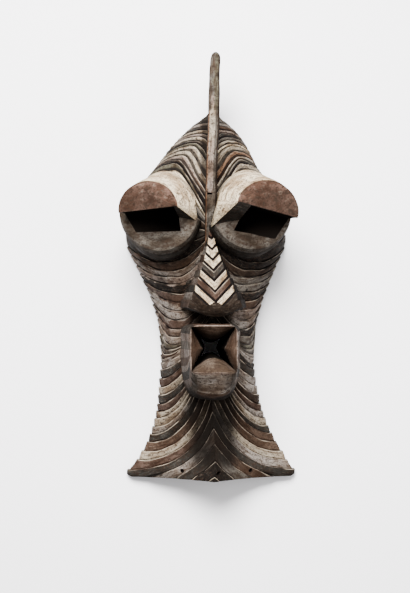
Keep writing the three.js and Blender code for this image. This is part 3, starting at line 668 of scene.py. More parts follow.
def lower_lid(eye):
    """The bowl under the visor: half ellipses hung below the straight edge, from a small one at the middle
    of its slanting face out to a crisp rim, and from there back in a turned-under band."""
    wider, high, inward = (curve_through([(row[0], row[k]) for row in LID_STATIONS]) for k in (1, 2, 3))
    rim_back, rim_wider, rim_high, rim_inward = LID_STATIONS[0]
    under = np.array([100, 85, 70, 55, 44, 34, 27, 21, 17, 14.5, 13, 12.3])
    to_middle = np.linspace(0.02, 1, LID_FACE_RINGS)
    face_half = blend(eye["half"] + rim_wider, LID_MIDDLE[0], to_middle)
    half = np.concatenate([eye["half"] + wider(under), face_half])
    tall = np.concatenate([high(under), blend(rim_high, LID_MIDDLE[1], to_middle)])
    shift = np.concatenate([inward(under), np.full(LID_FACE_RINGS, float(rim_inward))]) + eye["lid_shift"]
    back = np.concatenate([under, rim_back * (1 - to_middle)])
    drop = inner_corner(eye, LID_SETBACK + back)[1]
    drop[-LID_FACE_RINGS:] *= np.linspace(1, 0, LID_FACE_RINGS)
    rings = half_rings(-shift, half, tall, -drop, 0, -LID_SETBACK - back, -1)
    # The turned-under band is painted black where it is deepest, then charcoal, as painted shade where it
    # turns away under the rim; the rest of the bowl is grey
    pigment = np.full((len(back) - 1, rings.shape[1]), stripe_of("grey"))
    pigment[:4] = stripe_of("black")
    pigment[4:7] = stripe_of("charcoal")
    # Darkening: more on the right eye's bowl than the left's, and most over its face inside the rim, as
    # painted shade on the side away from the light and under the hood
    soot = np.full(rings.shape[:2], eye["lid_soot_and_shade"])
    soot[-12:] = 0.65
    course = rings * (1, 0.5, 1)
    return loft("lid", in_eye(eye, rings), pigment, soot=soot, course=course, caps=("black", "grey"))


# How far out of the visor's face each end or turn of the slot lies, then the share of its width there, and
# how far it has shifted towards the nose
SLOT_STATIONS = np.array([(10, 1, 0), (-34, 1, 0), (-72, 0.24, 34), (-140, 0.24, 40)])


def eye_slot(eye):
    """The eye's opening: a four-cornered channel that narrows and turns in on its way to the hollow."""
    z, width, inward = SLOT_STATIONS.T[..., None]
    corners = np.array(eye["slot"], float)
    corners[:2, 1] = VISOR_EDGE - 0.2
    x = corners[:, 0] * width - inward
    rings = np.stack(np.broadcast_arrays(x, corners[:, 1], z), -1)
    return loft("slot", in_eye(eye, rings), "black", finish=SHADE_BLACK)


def nose_share(y):
    """How far down the nose a height lies, from 0 at its top to 1 at its tip."""
    return (NOSE_TOP - y) / (NOSE_TOP - NOSE_TIP)


def nose_shift(y):
    """How far the leaning nose sits off the axis."""
    return blend(0.6, 3.4, nose_share(y))


def nose_half(y):
    """The nose's half width: a power curve from its narrow top to its broad tip."""
    return blend(NOSE_HALF_TOP, NOSE_HALF_TIP, np.maximum(nose_share(y), 0) ** 1.3)


def nose_ridge(y):
    """How far out the nose's ridge stands: the face's depth and a rise that grows evenly to the tip."""
    return FACE_DEPTH * depth_share(y / LENGTH) + blend(NOSE_RISE_TOP, NOSE_RISE_TIP, nose_share(y))


# Down a chevron, as shares of its pitch and of its relief: a rounded edge, a slope and a groove
CHEVRON_PROFILE = np.array([(0, 0.3), (0.07, 0.5), (0.3, 0.4), (0.7, 0.1), (0.76, -0.4), (0.88, -0.5)])
GROOVE_FROM = 0.65  # the share of the pitch from which the groove is painted black, as its shade
CHEVRON_GROOVE = 0.46  # the share of the pitch over which the shade above a groove fades
CARVED_CHEVRONS = 8  # the rest are plain wood under the tip


def nose_chevrons():
    """The nose's roof: each row of points is a V whose arms rise at 45 degrees from the ridge, with a
    lapped profile from one chevron to the next, and a foot on each side run into the shell."""
    t = np.linspace(-1, 1, 41)
    index = np.repeat(np.arange(CHEVRON_COUNT), len(CHEVRON_PROFILE))
    share = np.tile(CHEVRON_PROFILE[:, 0], CHEVRON_COUNT)
    lift = np.tile(CHEVRON_PROFILE[:, 1], CHEVRON_COUNT)
    ridge = NOSE_TOP - (index + share)[:, None] * CHEVRON_PITCH
    growth = (NOSE_HALF_TIP - NOSE_HALF_TOP) / (NOSE_TOP - NOSE_TIP)
    stepped = 1.03 - 0.07 * share[:, None]
    x = t * stepped * nose_half(ridge) / (1 + np.abs(t) * growth)
    y = ridge + np.abs(x)
    z = nose_ridge(y) - NOSE_FACET * np.abs(x) + lift[:, None] * CHEVRON_RELIEF
    roof = np.stack([x, y, z], -1)
    left_foot = roof[:, :1] + (-NOSE_FLARE, 0, -NOSE_ROOT)
    right_foot = roof[:, -1:] + (NOSE_FLARE, 0, -NOSE_ROOT)
    rings = np.concatenate([left_foot, roof, right_foot], axis=1)
    rings[..., 0] += nose_shift(rings[..., 1])
    upper = index[:-1]
    # The lower part of each carved chevron's groove is painted black: painted shade
    grooved = (share[:-1] > GROOVE_FROM) & (upper < CARVED_CHEVRONS)
    stripe = np.where(grooved, stripe_of("black"), stripes_of(CHEVRON_STRIPES)[upper])
    stripe = np.repeat(stripe[:, None], rings.shape[1], axis=1)
    # The right flank and its foot are painted dark brown, as painted shade on the side away from the light;
    # the left flank carries stripes like the cheeks'
    stripe[:, [-1, -2]] = stripe_of("dark_brown")
    stripe[:, 0] = stripes_of(FLANK_STRIPES)[upper % len(FLANK_STRIPES)]
    # How far a point lies below its chevron's edge and above the next groove, for the painted highlight and
    # the painted groove shade
    lower_share = np.append(share[1:], 1.0)
    lower_share[lower_share == 0] = 1.0
    shares = np.stack([share, lower_share], -1)[:-1, :, None] * np.ones(rings.shape[1])
    below, above = shares * CHEVRON_PITCH * math.sqrt(0.5), (1 - shares) / CHEVRON_GROOVE
    for edge in (below, above):
        edge[..., [0, -1]] = FAR
        edge[upper >= CARVED_CHEVRONS] = FAR
    # Darkening: the plain chevrons under the tip, and both flanks, the right one most, as painted shade
    soot = np.where(index >= CARVED_CHEVRONS, 0.5, 0.1)[:, None] * np.ones(rings.shape[1])
    soot[:, [-2, -1]] = 0.92
    soot[:, [0, 1]] = (0.75, 0.45)
    return loft("nose", rings, stripe, (below, above), soot, caps=("brown", "charcoal"))


def nose_envelope():
    """The space the nose may fill: it ends below in an arc that turns in under the tip."""
    t = np.linspace(-1, 1, 41)

    def row(y, z, flat):
        """One section: an arc over the nose, as curved as flat says, and two feet at the rim's level."""
        half = nose_half(y) + NOSE_FLARE
        arc = np.stack([t * half, y + flat * t * t * NOSE_ARC, z - flat * t * t * NOSE_ARC_DROP], -1)
        feet = np.array([(half, arc[-1, 1], 0), (-half, arc[0, 1], 0)])
        return np.concatenate([arc, feet])

    height = float(nose_ridge(NOSE_TIP))
    rings = [row(NOSE_TOP + 30, height + 40, 0), row(NOSE_TIP + 30, height + 12, 0)]
    for angle in np.linspace(0, np.pi / 2, 20):
        turned_in = NOSE_TUCK * (1 - math.cos(angle))
        rings.append(row(NOSE_TIP - NOSE_UNDERSIDE * math.sin(angle), height + 1 - turned_in, 1))
    rings = np.array(rings)
    rings[..., 0] += nose_shift(rings[..., 1])
    # The underside is given the darker brown and darkened further: painted shade under the nose
    soot = 0.35 * np.ones(rings.shape[:2])
    return loft("nose_envelope", rings, "nose_brown", soot=soot, caps=("nose_brown", "nose_brown"))


# Millimetres behind the mouth's front, then its half width and its reach up and down there
MOUTH_STATIONS = np.array([
    (106, 43, 33, 75), (70, 39, 33, 72), (36, 35, 33, 65), (3, 32.5, 32.5, 35), (0.8, 32.2, 32.2, 32.6),
    (0, 31.5, 31.5, 31.5),
])
MOUTH_POINTS = 120
FLANK_PITCH = 11.0  # millimetres to each of the stripes on the mouth's flanks


def mouth_front():
    """How far out the mouth's front stands: the face's depth there and the mouth's rise."""
    return FACE_DEPTH * float(depth_share(MOUTH_CENTRE / LENGTH)) + MOUTH_RISE


def mouth_box():
    """The box of the mouth: rounded squares (superellipses of power 7) that widen towards the face, the
    lower half cut back on a slope with its corners rounded off (power 3)."""
    deepest, _, chin_end, *edge = MOUTH_STATIONS[:, 0]
    back = np.concatenate([
        np.linspace(deepest, chin_end, 10)[:-1], np.linspace(chin_end, edge[0], 12)[:-1], edge,
    ])
    known = MOUTH_STATIONS[::-1]
    half, up, down = (np.interp(back, known[:, 0], known[:, k]) for k in (1, 2, 3))
    angle = 2 * np.pi * (np.arange(MOUTH_POINTS) + 0.5) / MOUTH_POINTS
    c, s = np.cos(angle), np.sin(angle)
    power = np.where(s > 0, 7, 7 - 4 * smooth_step(back, 2, 30)[:, None] * smooth_step(-s, 0, 0.5))
    radius = (np.abs(c) ** power + np.abs(s) ** power) ** (-1 / power)
    x = c * radius * half[:, None]
    y = MOUTH_CENTRE + s * radius * np.where(s > 0, up[:, None], down[:, None])
    z = np.broadcast_to((mouth_front() - back)[:, None], x.shape)
    uneven = 1.3 * smooth_step(back, 1, 8)[:, None] * lattice_noise(np.stack([x, y, z], -1), 10, SEED + 7)
    x = x + c * uneven
    y = y + s * uneven
    chin = (s < -0.55) & (back[:-1, None] < chin_end)
    pigment = np.where(chin, stripe_of("pale_grey"), stripe_of("brown"))
    flank = stripes_of(FLANK_STRIPES)[np.floor(y[:1] / FLANK_PITCH).astype(int) % len(FLANK_STRIPES)]
    pigment = np.where(np.abs(c) > 0.6, flank, pigment)
    pigment[-2:] = stripe_of("pink_grey")
    # Darkening towards the face all round the box, most on its lower side, and low on its sides: painted
    # shade under the nose and under the mouth. It is also a little darker on its left side and where its
    # ragged edge bulges out
    chin_lap = smooth_step(-s, 0.3, 0.6)
    deep = smooth_step(back[:, None], 14 + 22 * chin_lap, 46 + 16 * chin_lap)
    sides = smooth_step(np.abs(c), 0.36, 0.52) * smooth_step(-s, 0.3, 0.5)
    soot = deep * blend(0.35, 0.98, smooth_step(-s, 0.45, 0.85))
    soot = np.maximum(soot, 0.45 * sides * smooth_step(back, 1, 5)[:, None])
    soot = np.maximum(soot, 0.3 * np.clip(uneven, 0, 1.3)) + 0.2 * smooth_step(-c, 0.5, 0.9)
    return loft("mouth", np.stack([x, y, z], -1), pigment, soot=soot, caps=("brown", "pink_grey"))


# Each lip's darkening in depth: the upper lip, which faces down, most, as painted shade; the side lips a
# little
LIPS = (
    {"from": (-1, -1), "to": (1, -1), "bulge": 17.0, "arched": True, "pigment": "bare_wood", "soot": 0.0},
    {"from": (1, -1), "to": (1, 1), "bulge": 14.0, "arched": False, "pigment": "brown", "soot": 0.1},
    {"from": (1, 1), "to": (-1, 1), "bulge": 16.0, "arched": True, "pigment": "brown", "soot": 0.85},
    {"from": (-1, 1), "to": (-1, -1), "bulge": 14.0, "arched": False, "pigment": "brown", "soot": 0.1},
)
LIP_STEPS = 22


def star_rings(depth, fullness, size):
    """Squares at those depths behind the lips' edge, each side pinched in by its lip: the upper and lower
    ones in an arch and the side ones in a point."""
    half = LIP_HALF - LIP_EDGE
    s = np.arange(LIP_STEPS) / LIP_STEPS
    sides = []
    for lip in LIPS:
        profile = np.sin(np.pi * s) if lip["arched"] else 1 - np.abs(2 * s - 1)
        inward = fullness[:, None] * lip["bulge"] * profile
        start, end = np.array(lip["from"], float), np.array(lip["to"], float)
        out = (start + end) / 2
        x = blend(start[0], end[0], s) * half * size[:, None] - out[0] * inward
        y = blend(start[1], end[1], s) * half * size[:, None] - out[1] * inward
        z = np.broadcast_to((mouth_front() - depth)[:, None], x.shape)
        sides.append(np.stack([x, MOUTH_CENTRE + y, z], -1))
    return np.concatenate(sides, axis=1)


def mouth_opening():
    """The mouth's opening out to the lips, which are fullest at their own depth."""
    depth = np.array([-5, 0, 2, 5, 8, 11, 14, 17, 19.5, LIP_DEPTH, LIP_DEPTH + 1])
    fullness = np.interp(depth, [0, 11, LIP_DEPTH], [0, 0.62, 1])
    size = np.interp(depth, [-5, 0, 11, LIP_DEPTH], [1.02, 1, 0.985, 0.96])
    pigment = np.tile(np.repeat(stripes_of(lip["pigment"] for lip in LIPS), LIP_STEPS), (len(depth) - 1, 1))
    # Painted shade: the lips darken with depth, the upper lip most
    soot = smooth_step(depth, 4, 16)[:, None] * np.repeat([lip["soot"] for lip in LIPS], LIP_STEPS)
    return loft("lips", star_rings(depth, fullness, size), pigment, soot=soot, caps=("black", "black"))


def throat():
    """The dark channel behind the lips, which narrows on its way to the hollow."""
    floor = FACE_DEPTH * float(depth_share(MOUTH_CENTRE / LENGTH)) - 3 * WALL
    depth = np.array([LIP_DEPTH, 60.0, mouth_front() - floor])
    rings = star_rings(depth, np.array([1, 0.6, 0.36]), np.array([0.94, 0.6, 0.36]))
    return loft("throat", rings, "black", finish=SHADE_BLACK)


# How far out the crest's front and back edges stand along LENGTH, as shares of the face's depth
crest_front = curve_through([
    (0.54, 1), (0.572, 1.05), (0.62, 1.2), (0.7, 1.34), (0.77, 1.377), (0.84, 1.34), (0.9, 1.23),
    (0.96, 1.02), (0.985, 0.88), (1, 0.76),
])
crest_back = curve_through([
    (0.54, 0.8), (0.64, 0.85), (0.71, 0.75), (0.78, 0.55), (0.83, 0.34), (0.86, 0.12), (0.873, 0.03),
    (0.9, 0.2), (0.95, 0.46), (0.985, 0.6), (1, 0.68),
])
# Where the crest's front changes colour on the way up, as shares of LENGTH
CREST_STRIPES = [
    (0.0, "grey"), (NOTCH_LEVEL, "pink_grey"), (0.69, "pink_cream"), (0.78, "cream"), (0.86, "pink_cream"),
    (0.885, "grey"), (0.91, "olive_grey"), (0.93, "grey"), (0.955, "bare_wood"), (0.98, "grey"),
]
CREST_UPPER = 0.85  # above this share of LENGTH the front's edges turn grey and olive
CREST_FOOT = 0.555  # where the blade begins, as a share of LENGTH
CREST_TIP = 0.97  # and from where its rows stand closer, up to its tip


def crest():
    """The blade: flat-sided sections with a rounded front edge, from the bridge up over the forehead to
    the tip, leaning a little to one side. Its front strays by slow noise, and its tip is worn round."""
    to_tip = np.sin(np.linspace(0.1, 0.5 * np.pi, 16))
    share = np.concatenate([np.linspace(CREST_FOOT, CREST_TIP, 110), CREST_TIP + 0.03 * to_tip])
    y = share * LENGTH
    rub = np.random.default_rng(SEED + 1)
    grain = np.stack([np.zeros_like(y), y, np.zeros_like(y)], -1)
    front = FACE_DEPTH * crest_front(share) + 0.8 * lattice_noise(grain, 14, SEED + 2)
    back = FACE_DEPTH * crest_back(share)
    tip = smooth_step(share, 0.9, 0.985)
    half = blend(CREST_THICKNESS, CREST_TIP_THICKNESS, tip) / 2 + 0.35 * lattice_noise(grain, 19, SEED + 3)
    half *= np.sqrt(1 - 0.92 * np.clip((share - 0.975) / 0.025, 0, 1) ** 2)
    angle = np.linspace(0, np.pi, 13)
    edge_x, edge_z = -np.cos(angle), np.sin(angle) ** 0.7
    across = np.concatenate([np.full(4, -1.0), edge_x, np.full(4, 1.0)])
    rise = np.linspace(0, 1, 5)[:-1]
    shoulder = front - CREST_ROUND
    side = back[:, None] + (shoulder - back)[:, None] * rise
    z = np.concatenate([side, shoulder[:, None] + CREST_ROUND * edge_z, side[:, ::-1]], axis=1)
    lean = (front[:, None] - z) * math.tan(math.radians(CREST_LEAN))
    x = across * half[:, None] + lean
    rings = np.stack([x, np.broadcast_to(y[:, None], x.shape), z], -1)
    starts, names = zip(*CREST_STRIPES)
    changes = np.searchsorted(starts, share[:-1], side="right") - 1
    pigment = stripes_of(names)[changes][:, None] * np.ones(rings.shape[1], int)
    # The columns run up the left side to 5, round the front from 6 to 12, and down the right side
    pigment[:, :6] = stripe_of("brown")
    pigment[:, 6] = stripe_of("orange_brown")
    pigment[:, 11:13] = stripe_of("grey")
    pigment[:, 13:] = stripe_of("dark_brown")
    upper = share[:-1] > CREST_UPPER
    pigment[upper, 6:8] = stripe_of("grey")
    pigment[upper, 10:13] = stripe_of("olive_grey")
    # The flanks are darkened, the front edge less, and pits and gaps more
    soot = 0.55 * np.ones(rings.shape[:2])
    soot[:, 6:12] = 0.12
    soot[:, 12:14] = 0.3
    soot += 0.1 * rub.uniform(-1, 1, len(y))[:, None]
    soot += 0.6 * np.clip(lattice_noise(rings, 5, SEED + 9), 0, 1)
    course = np.stack([rings[..., 1], rings[..., 0] - lean, z - front[:, None]], -1)
    return loft("crest", rings, pigment, soot=np.clip(soot, 0, 1), course=course, caps=("brown", "bare_wood"))


def block(name, low, high, stripe="dark_brown", finish=PIGMENTED):
    """A plain box between two corners."""
    x0, y0, z0 = low
    x1, y1, z1 = high
    base = np.array([(x0, y0), (x1, y0), (x1, y1), (x0, y1)], float)
    rings = np.stack([np.column_stack([base, np.full(4, z)]) for z in (z0, z1)])
    return loft(name, rings, stripe, finish=finish, caps=(stripe, stripe))


# Millimetres out from the shell's front, and the edge hole's radius there
EDGE_HOLE_STATIONS = ((12, EDGE_HOLE_RADIUS), (-2, EDGE_HOLE_RADIUS), (-30, EDGE_HOLE_END))


def edge_hole(offset):
    """One of the small round holes along the beard's edge, bored at a slant from the front to the hollow."""
    angle = 2 * np.pi * np.arange(24) / 24
    x = offset + EDGE_HOLE_SHIFT
    half = HALF_WIDTH * float(width_share(EDGE_HOLE_HEIGHT / LENGTH))
    front = float(shell_point(abs(x) / half, EDGE_HOLE_HEIGHT)[2])

    def slanted(z):
        """The height of the hole's middle at a depth."""
        return EDGE_HOLE_HEIGHT + EDGE_HOLE_SLANT * (front - z)

    rings = np.stack([
        np.stack([x + radius * np.cos(angle), slanted(z) + radius * np.sin(angle), np.full(24, z)], -1)
        for z, radius in ((front + out, radius) for out, radius in EDGE_HOLE_STATIONS)
    ])
    return loft("edge_hole", rings, "black", finish=SHADE_BLACK, caps=("black", "black"))


def combined(base, steps):
    """One closed mesh from a base piece and (piece, operation) steps, keeping stripes and slots."""
    for piece, operation in steps:
        cut = base.modifiers.new(operation.title(), "BOOLEAN")
        cut.solver = "MANIFOLD"
        cut.operation = operation
        cut.object = piece
        cut.material_mode = "INDEX"
    graph = bpy.context.evaluated_depsgraph_get()
    mesh = bpy.data.meshes.new_from_object(base.evaluated_get(graph))
    for piece in [base] + [step[0] for step in steps]:
        bpy.data.objects.remove(piece)
    return mesh


def hand_worn(points, normals, wear):
    """Points moved along their normals by smooth noise in cells of 17 and, at half the height, of 5.5
    millimetres, as hand tools and wear leave them."""
    uneven = lattice_noise(points, 17, SEED + 4) + 0.5 * lattice_noise(points, 5.5, SEED + 5)
    return points + wear * normals * uneven[:, None]


def carved_mesh(band_relief, edge_waver):
    """The whole carving: shell, eyes, nose, mouth and crest made one, cut level at the rim and the beard's
    edge, then hollowed and pierced."""
    nose = linked("nose_trimmed", combined(nose_chevrons(), [(nose_envelope(), "INTERSECT")]))
    size = 2 * LENGTH
    kept = block("kept", (-size / 2, 0, 0), (size / 2, size, size), "black")
    front = FACE_DEPTH * float(crest_front(NOTCH_LEVEL))
    low = (-NOTCH_REACH, LENGTH * NOTCH_LEVEL - NOTCH_HALF, front - NOTCH_DEPTH)
    high = (NOTCH_HALF, LENGTH * NOTCH_LEVEL + NOTCH_HALF, front + NOTCH_DEPTH)
    # The notch, the eye slots, the throat and the edge holes take the near-black painted shade of the
    # openings
    notch = block("notch", low, high, "black", SHADE_BLACK)
    steps = [(piece(eye), "UNION") for eye in EYES for piece in (visor, lower_lid)]
    steps += [(nose, "UNION"), (mouth_box(), "UNION"), (crest(), "UNION"), (kept, "INTERSECT")]
    steps += [(piece, "DIFFERENCE") for piece in (hollow(), mouth_opening(), throat(), notch)]
    steps += [(eye_slot(eye), "DIFFERENCE") for eye in EYES]
    steps += [(edge_hole(offset), "DIFFERENCE") for offset in (-EDGE_HOLE_PITCH, 0, EDGE_HOLE_PITCH)]
    return combined(banded_shell(band_relief, edge_waver), steps)


SHARP_FROM = 32  # degrees between two faces from which their edge is drawn sharp


def put_in_frame(mesh, wear):
    """Wears the surface, bends it along the log's wandering axis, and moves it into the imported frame."""
    points = np.empty(3 * len(mesh.vertices))
    mesh.vertices.foreach_get("co", points)
    points = points.reshape(-1, 3)
    normals = np.empty(3 * len(mesh.vertices), np.float32)
    mesh.vertex_normals.foreach_get("vector", normals)
    worn = hand_worn(points, normals.reshape(-1, 3).astype(float), wear)
    cut_edge = (points[:, 2] < 0.01) | (points[:, 1] < 0.01)
    worn[:, 1:] = np.maximum(worn[:, 1:], 0)
    points = np.where(cut_edge[:, None], points, worn)
    points[:, 0] += axis_shift(points[:, 1] / LENGTH)
    points -= (FRAME_MIDDLE, LENGTH / 2, 0)
    mesh.vertices.foreach_set("co", (points * MM).ravel())
    mesh.polygons.foreach_set("use_smooth", np.ones(len(mesh.polygons), bool))
    mesh.set_sharp_from_angle(angle=math.radians(SHARP_FROM))
    mesh.update()


def paint(mesh, palette):
    """Gives each corner its stripe's colour."""
    stripes = np.empty(len(mesh.polygons), np.int32)
    mesh.attributes["stripe"].data.foreach_get("value", stripes)
    corners = np.empty(len(mesh.polygons), np.int32)
    mesh.polygons.foreach_get("loop_total", corners)
    colours = palette[np.repeat(stripes, corners)]
    colours = np.column_stack([colours, np.ones(len(colours))]).astype(np.float32)
    mesh.attributes.new("pigment", "FLOAT_COLOR", "CORNER").data.foreach_set("color", colours.ravel())
    mesh.attributes.remove(mesh.attributes["stripe"])


def add(tree, kind, inputs=None, **settings):
    """Adds a node with its settings, and sets or links each of its inputs."""
    node = tree.nodes.new(kind)
    for name, value in settings.items():
        setattr(node, name, value)
    for name, value in (inputs or {}).items():
        if isinstance(value, bpy.types.NodeSocket):
            tree.links.new(value, node.inputs[name])
        else:
            node.inputs[name].default_value = value
    return node


def new_material(name):
    """A material with an empty node tree but for its output."""
    material = bpy.data.materials.new(name)
    material.use_nodes = True
    material.node_tree.nodes.clear()
    return material, material.node_tree, add(material.node_tree, "ShaderNodeOutputMaterial")


def per_mm(size):
    """The scale that gives a noise pattern features of that many millimetres in Object coordinates."""
    return 1 / (size * MM)


# What thins and dulls the pigment, with the painted shade and highlight laid over it, from the first
# to the last: a colour, how it is laid on, and the patterns that its strength follows, each with the
# two ends of a smooth ramp and the strengths there
WEAR_SHADE_AND_HIGHLIGHT_LAYERS = (
    # Pigment worn thin in patches and in broad strokes
    ("#ad9c8c", "MULTIPLY", [("blotch", 0.4, 0.66, 0, 0.85)]),
    ("#8d7b6c", "MULTIPLY", [("wide_streak", 0.48, 0.66, 0, 0.75)]),
    # Wood that shows in the adze's streaks and in chips
    ("#2f251e", "MIX", [("streak", 0.52, 0.62, 0, 0.8)]),
    ("#231a15", "MIX", [("flake", 0.55, 0.61, 0, 0.85)]),
    # Dust that lies in the other streaks, pale grains, and dark pits
    ("#7d7265", "MIX", [("streak", 0.45, 0.36, 0, 0.35), ("blotch", 0.3, 0.6, 1, 0.2)]),
    ("#75695c", "MIX", [("grit", 0.62, 0.72, 0, 0.14)]),
    ("#211812", "MIX", [("grit", 0.44, 0.35, 0, 0.7)]),
    # Darkening by the points' own values, partly real and partly painted shade; then the upper edges painted
    # pale, partly hand wear and partly a painted highlight; then painted shade in the grooves
    ("#0d0a08", "MIX", [("soot",), ("blotch", 0.3, 0.7, 1, 0.88)]),
    ("#95897a", "MIX", [
        ("below_arris", 0.3, 1.4, 0.68, 0), ("wide_streak", 0.45, 0.6, 1, 0), ("blotch", 0.4, 0.58, 0.3, 1),
        ("soot", 0.3, 1, 1, 0.6),
    ]),
    ("#090707", "MIX", [("above_groove", 0.62, 0.88, 0.97, 0), ("wide_streak", 0.3, 0.62, 1, 0.86)]),
)


def painted_wood():
    """Earth pigments in a matt binder over carved wood, rubbed by handling and dulled by smoke: the ground
    shows in chips and in the adze's streaks along each band, every upper edge is painted pale, partly as
    hand wear and partly as a painted highlight, and every groove is painted dark as its shade. The
    darkening that each point carries is partly real and partly painted shade."""
    material, tree, output = new_material("Earth pigment on carved wood")
    place = add(tree, "ShaderNodeTexCoord").outputs["Object"]
    course = add(tree, "ShaderNodeAttribute", attribute_name="course").outputs["Vector"]
    drawn_out = add(tree, "ShaderNodeMapping", {"Vector": course, "Scale": (0.22, 1, 1)}).outputs[0]
    noises = {
        "streak": {"Vector": drawn_out, "Scale": 1 / 2.2, "Detail": 5, "Roughness": 0.65},
        "wide_streak": {"Vector": drawn_out, "Scale": 1 / 6.5, "Detail": 3},
        "blotch": {"Vector": place, "Scale": per_mm(26), "Detail": 5},
        "flake": {"Vector": place, "Scale": per_mm(4.5), "Detail": 6, "Roughness": 0.7},
        "grit": {"Vector": place, "Scale": per_mm(2.1), "Detail": 3},
    }
    patterns = {}
    for name, settings in noises.items():
        patterns[name] = add(tree, "ShaderNodeTexNoise", settings).outputs[0]
    for name in ("below_arris", "above_groove", "soot"):
        patterns[name] = add(tree, "ShaderNodeAttribute", attribute_name=name).outputs["Fac"]
    colour = add(tree, "ShaderNodeAttribute", attribute_name="pigment").outputs["Color"]
    for tint, how, follows in WEAR_SHADE_AND_HIGHLIGHT_LAYERS:
        strength = None
        for name, *ramp in follows:
            factor = patterns[name]
            if ramp:
                factor = add(tree, "ShaderNodeMapRange", {0: factor, **dict(enumerate(ramp, 1))},
                             interpolation_type="SMOOTHSTEP").outputs[0]
            if strength is not None:
                factors = {0: strength, 1: factor}
                factor = add(tree, "ShaderNodeMath", factors, operation="MULTIPLY").outputs[0]
            strength = factor
        colour = add(tree, "ShaderNodeMix", {0: strength, 6: colour, 7: opaque(tint)},
                     data_type="RGBA", blend_type=how).outputs[2]
    height = add(tree, "ShaderNodeMath", {0: patterns["streak"], 1: 0.8, 2: patterns["flake"]},
                 operation="MULTIPLY_ADD").outputs[0]
    bump = add(tree, "ShaderNodeBump", {"Height": height, "Distance": 1.0 * MM, "Strength": 0.7}).outputs[0]
    roughness = add(tree, "ShaderNodeMapRange", {0: patterns["blotch"], 1: 0.3, 2: 0.7, 3: 0.72, 4: 0.9},
                    interpolation_type="SMOOTHSTEP").outputs[0]
    shader = add(tree, "ShaderNodeBsdfPrincipled", {
        "Base Color": colour, "Roughness": roughness, "Normal": bump, "Specular IOR Level": 0.02,
    })
    tree.links.new(shader.outputs[0], output.inputs[0])
    return material


def bare_wood():
    """Gouged bare wood, never painted, browned by sweat and smoke inside the hollow."""
    material, tree, output = new_material("Gouged bare wood")
    place = add(tree, "ShaderNodeTexCoord").outputs["Object"]
    along_log = add(tree, "ShaderNodeMapping", {"Vector": place, "Scale": (1, 0.08, 1)}).outputs[0]
    lines = {"Vector": along_log, "Scale": per_mm(2.5), "Detail": 4}
    grain = add(tree, "ShaderNodeTexNoise", lines).outputs[0]
    clouds = {"Vector": place, "Scale": per_mm(45), "Detail": 3}
    sweat = add(tree, "ShaderNodeTexNoise", clouds).outputs[0]
    browned = {0: sweat, 6: opaque("#6e543f"), 7: opaque("#46342a")}
    light = add(tree, "ShaderNodeMix", browned, data_type="RGBA").outputs[2]
    grained = {0: grain, 6: light, 7: opaque("#35271f")}
    colour = add(tree, "ShaderNodeMix", grained, data_type="RGBA").outputs[2]
    bump = add(tree, "ShaderNodeBump", {"Height": grain, "Distance": 0.6 * MM, "Strength": 0.4}).outputs[0]
    shader = add(tree, "ShaderNodeBsdfPrincipled", {"Base Color": colour, "Roughness": 0.8, "Normal": bump})
    tree.links.new(shader.outputs[0], output.inputs[0])
    return material


def opening_shade_black():
    """Near-black for the walls of all the openings: painted shade, which keeps them deep and lightless."""
    material, tree, output = new_material("Sooted wood")
    shader = add(tree, "ShaderNodeBsdfPrincipled", {
        "Base Color": opaque("#090706"), "Roughness": 0.9, "Specular IOR Level": 0.0,
    })
    tree.links.new(shader.outputs[0], output.inputs[0])
    return material


FINISHES = {
    "Earth pigment on carved wood": painted_wood,
    "Gouged bare wood": bare_wood,
    "Sooted wood": opening_shade_black,
}


def finishes():
    """The mask's materials in the order of its slots, each made the first time it is asked for."""
    return [bpy.data.materials.get(name) or make() for name, make in FINISHES.items()]


def stain(name):
    """A colour setting for one pigment."""
    colour, description = PIGMENTS[name]
    return FloatVectorProperty(name=name.replace("_", " ").capitalize(), description=description,
                               subtype="COLOR", size=3, min=0, max=1, default=linear(colour))


def length(name, description, default, least, most):
    """A setting for a size in metres."""
    return FloatProperty(name=name, description=description, subtype="DISTANCE", unit="LENGTH",
                         default=default, min=least, max=most)


def power(name, description, default):
    """A setting for a light's power in watts."""
    return FloatProperty(name=name, description=description, subtype="POWER", unit="POWER",
                         default=default, min=0.0, max=300.0)


class MaskPigments(bpy.types.PropertyGroup):
    """The colours of the pigments and the wood"""

    __annotations__ = {name: stain(name) for name in PIGMENTS}


class MaskCarving(bpy.types.PropertyGroup):
    """The relief and the wear of the carving"""

    relief: length("Band relief", "Step at a band's upper edge", BAND_RELIEF * MM, 0.0, 0.008)
    waver: length("Edge waver", "How far a band's edge strays from its line", 0.85 * MM, 0.0, 0.002)
    wear: length("Surface wear", "Height of the unevenness left by tools and hands", 0.45 * MM, 0.0, 0.002)


class MaskStudio(bpy.types.PropertyGroup):
    """The floor, the camera and the lights"""

    floor: FloatVectorProperty(name="Floor", description="Colour of the floor", subtype="COLOR", size=3,
                               min=0, max=1, default=linear("#eeeef2"))
    distance: length("Camera distance", "Camera to the mask's rim", 2.5, 1.0, 6.0)
    key: power("Key light", "Power of the large light above the crown", 92.0)
    fill: power("Fill light", "Power of the light on the other side", 26.0)


class MASK_OT_carve(bpy.types.Operator):
    """Carve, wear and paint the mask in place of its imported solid"""

    bl_idname = "mask.carve"
    bl_label = "Carve Mask"

    def execute(self, context):
        carving, pigments = context.scene.mask_carving, context.scene.mask_pigments
        mesh = carved_mesh(carving.relief / MM, carving.waver / MM)
        if len(mesh.polygons) == 0:
            raise RuntimeError("the carving came out empty")
        put_in_frame(mesh, carving.wear / MM)
        paint(mesh, np.array([getattr(pigments, name)[:] for name in PIGMENTS]))
        mask = linked("kifwebe_carving", mesh)
        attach(mask, "root")
        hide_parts(MASK_NODE)
        return {"FINISHED"}


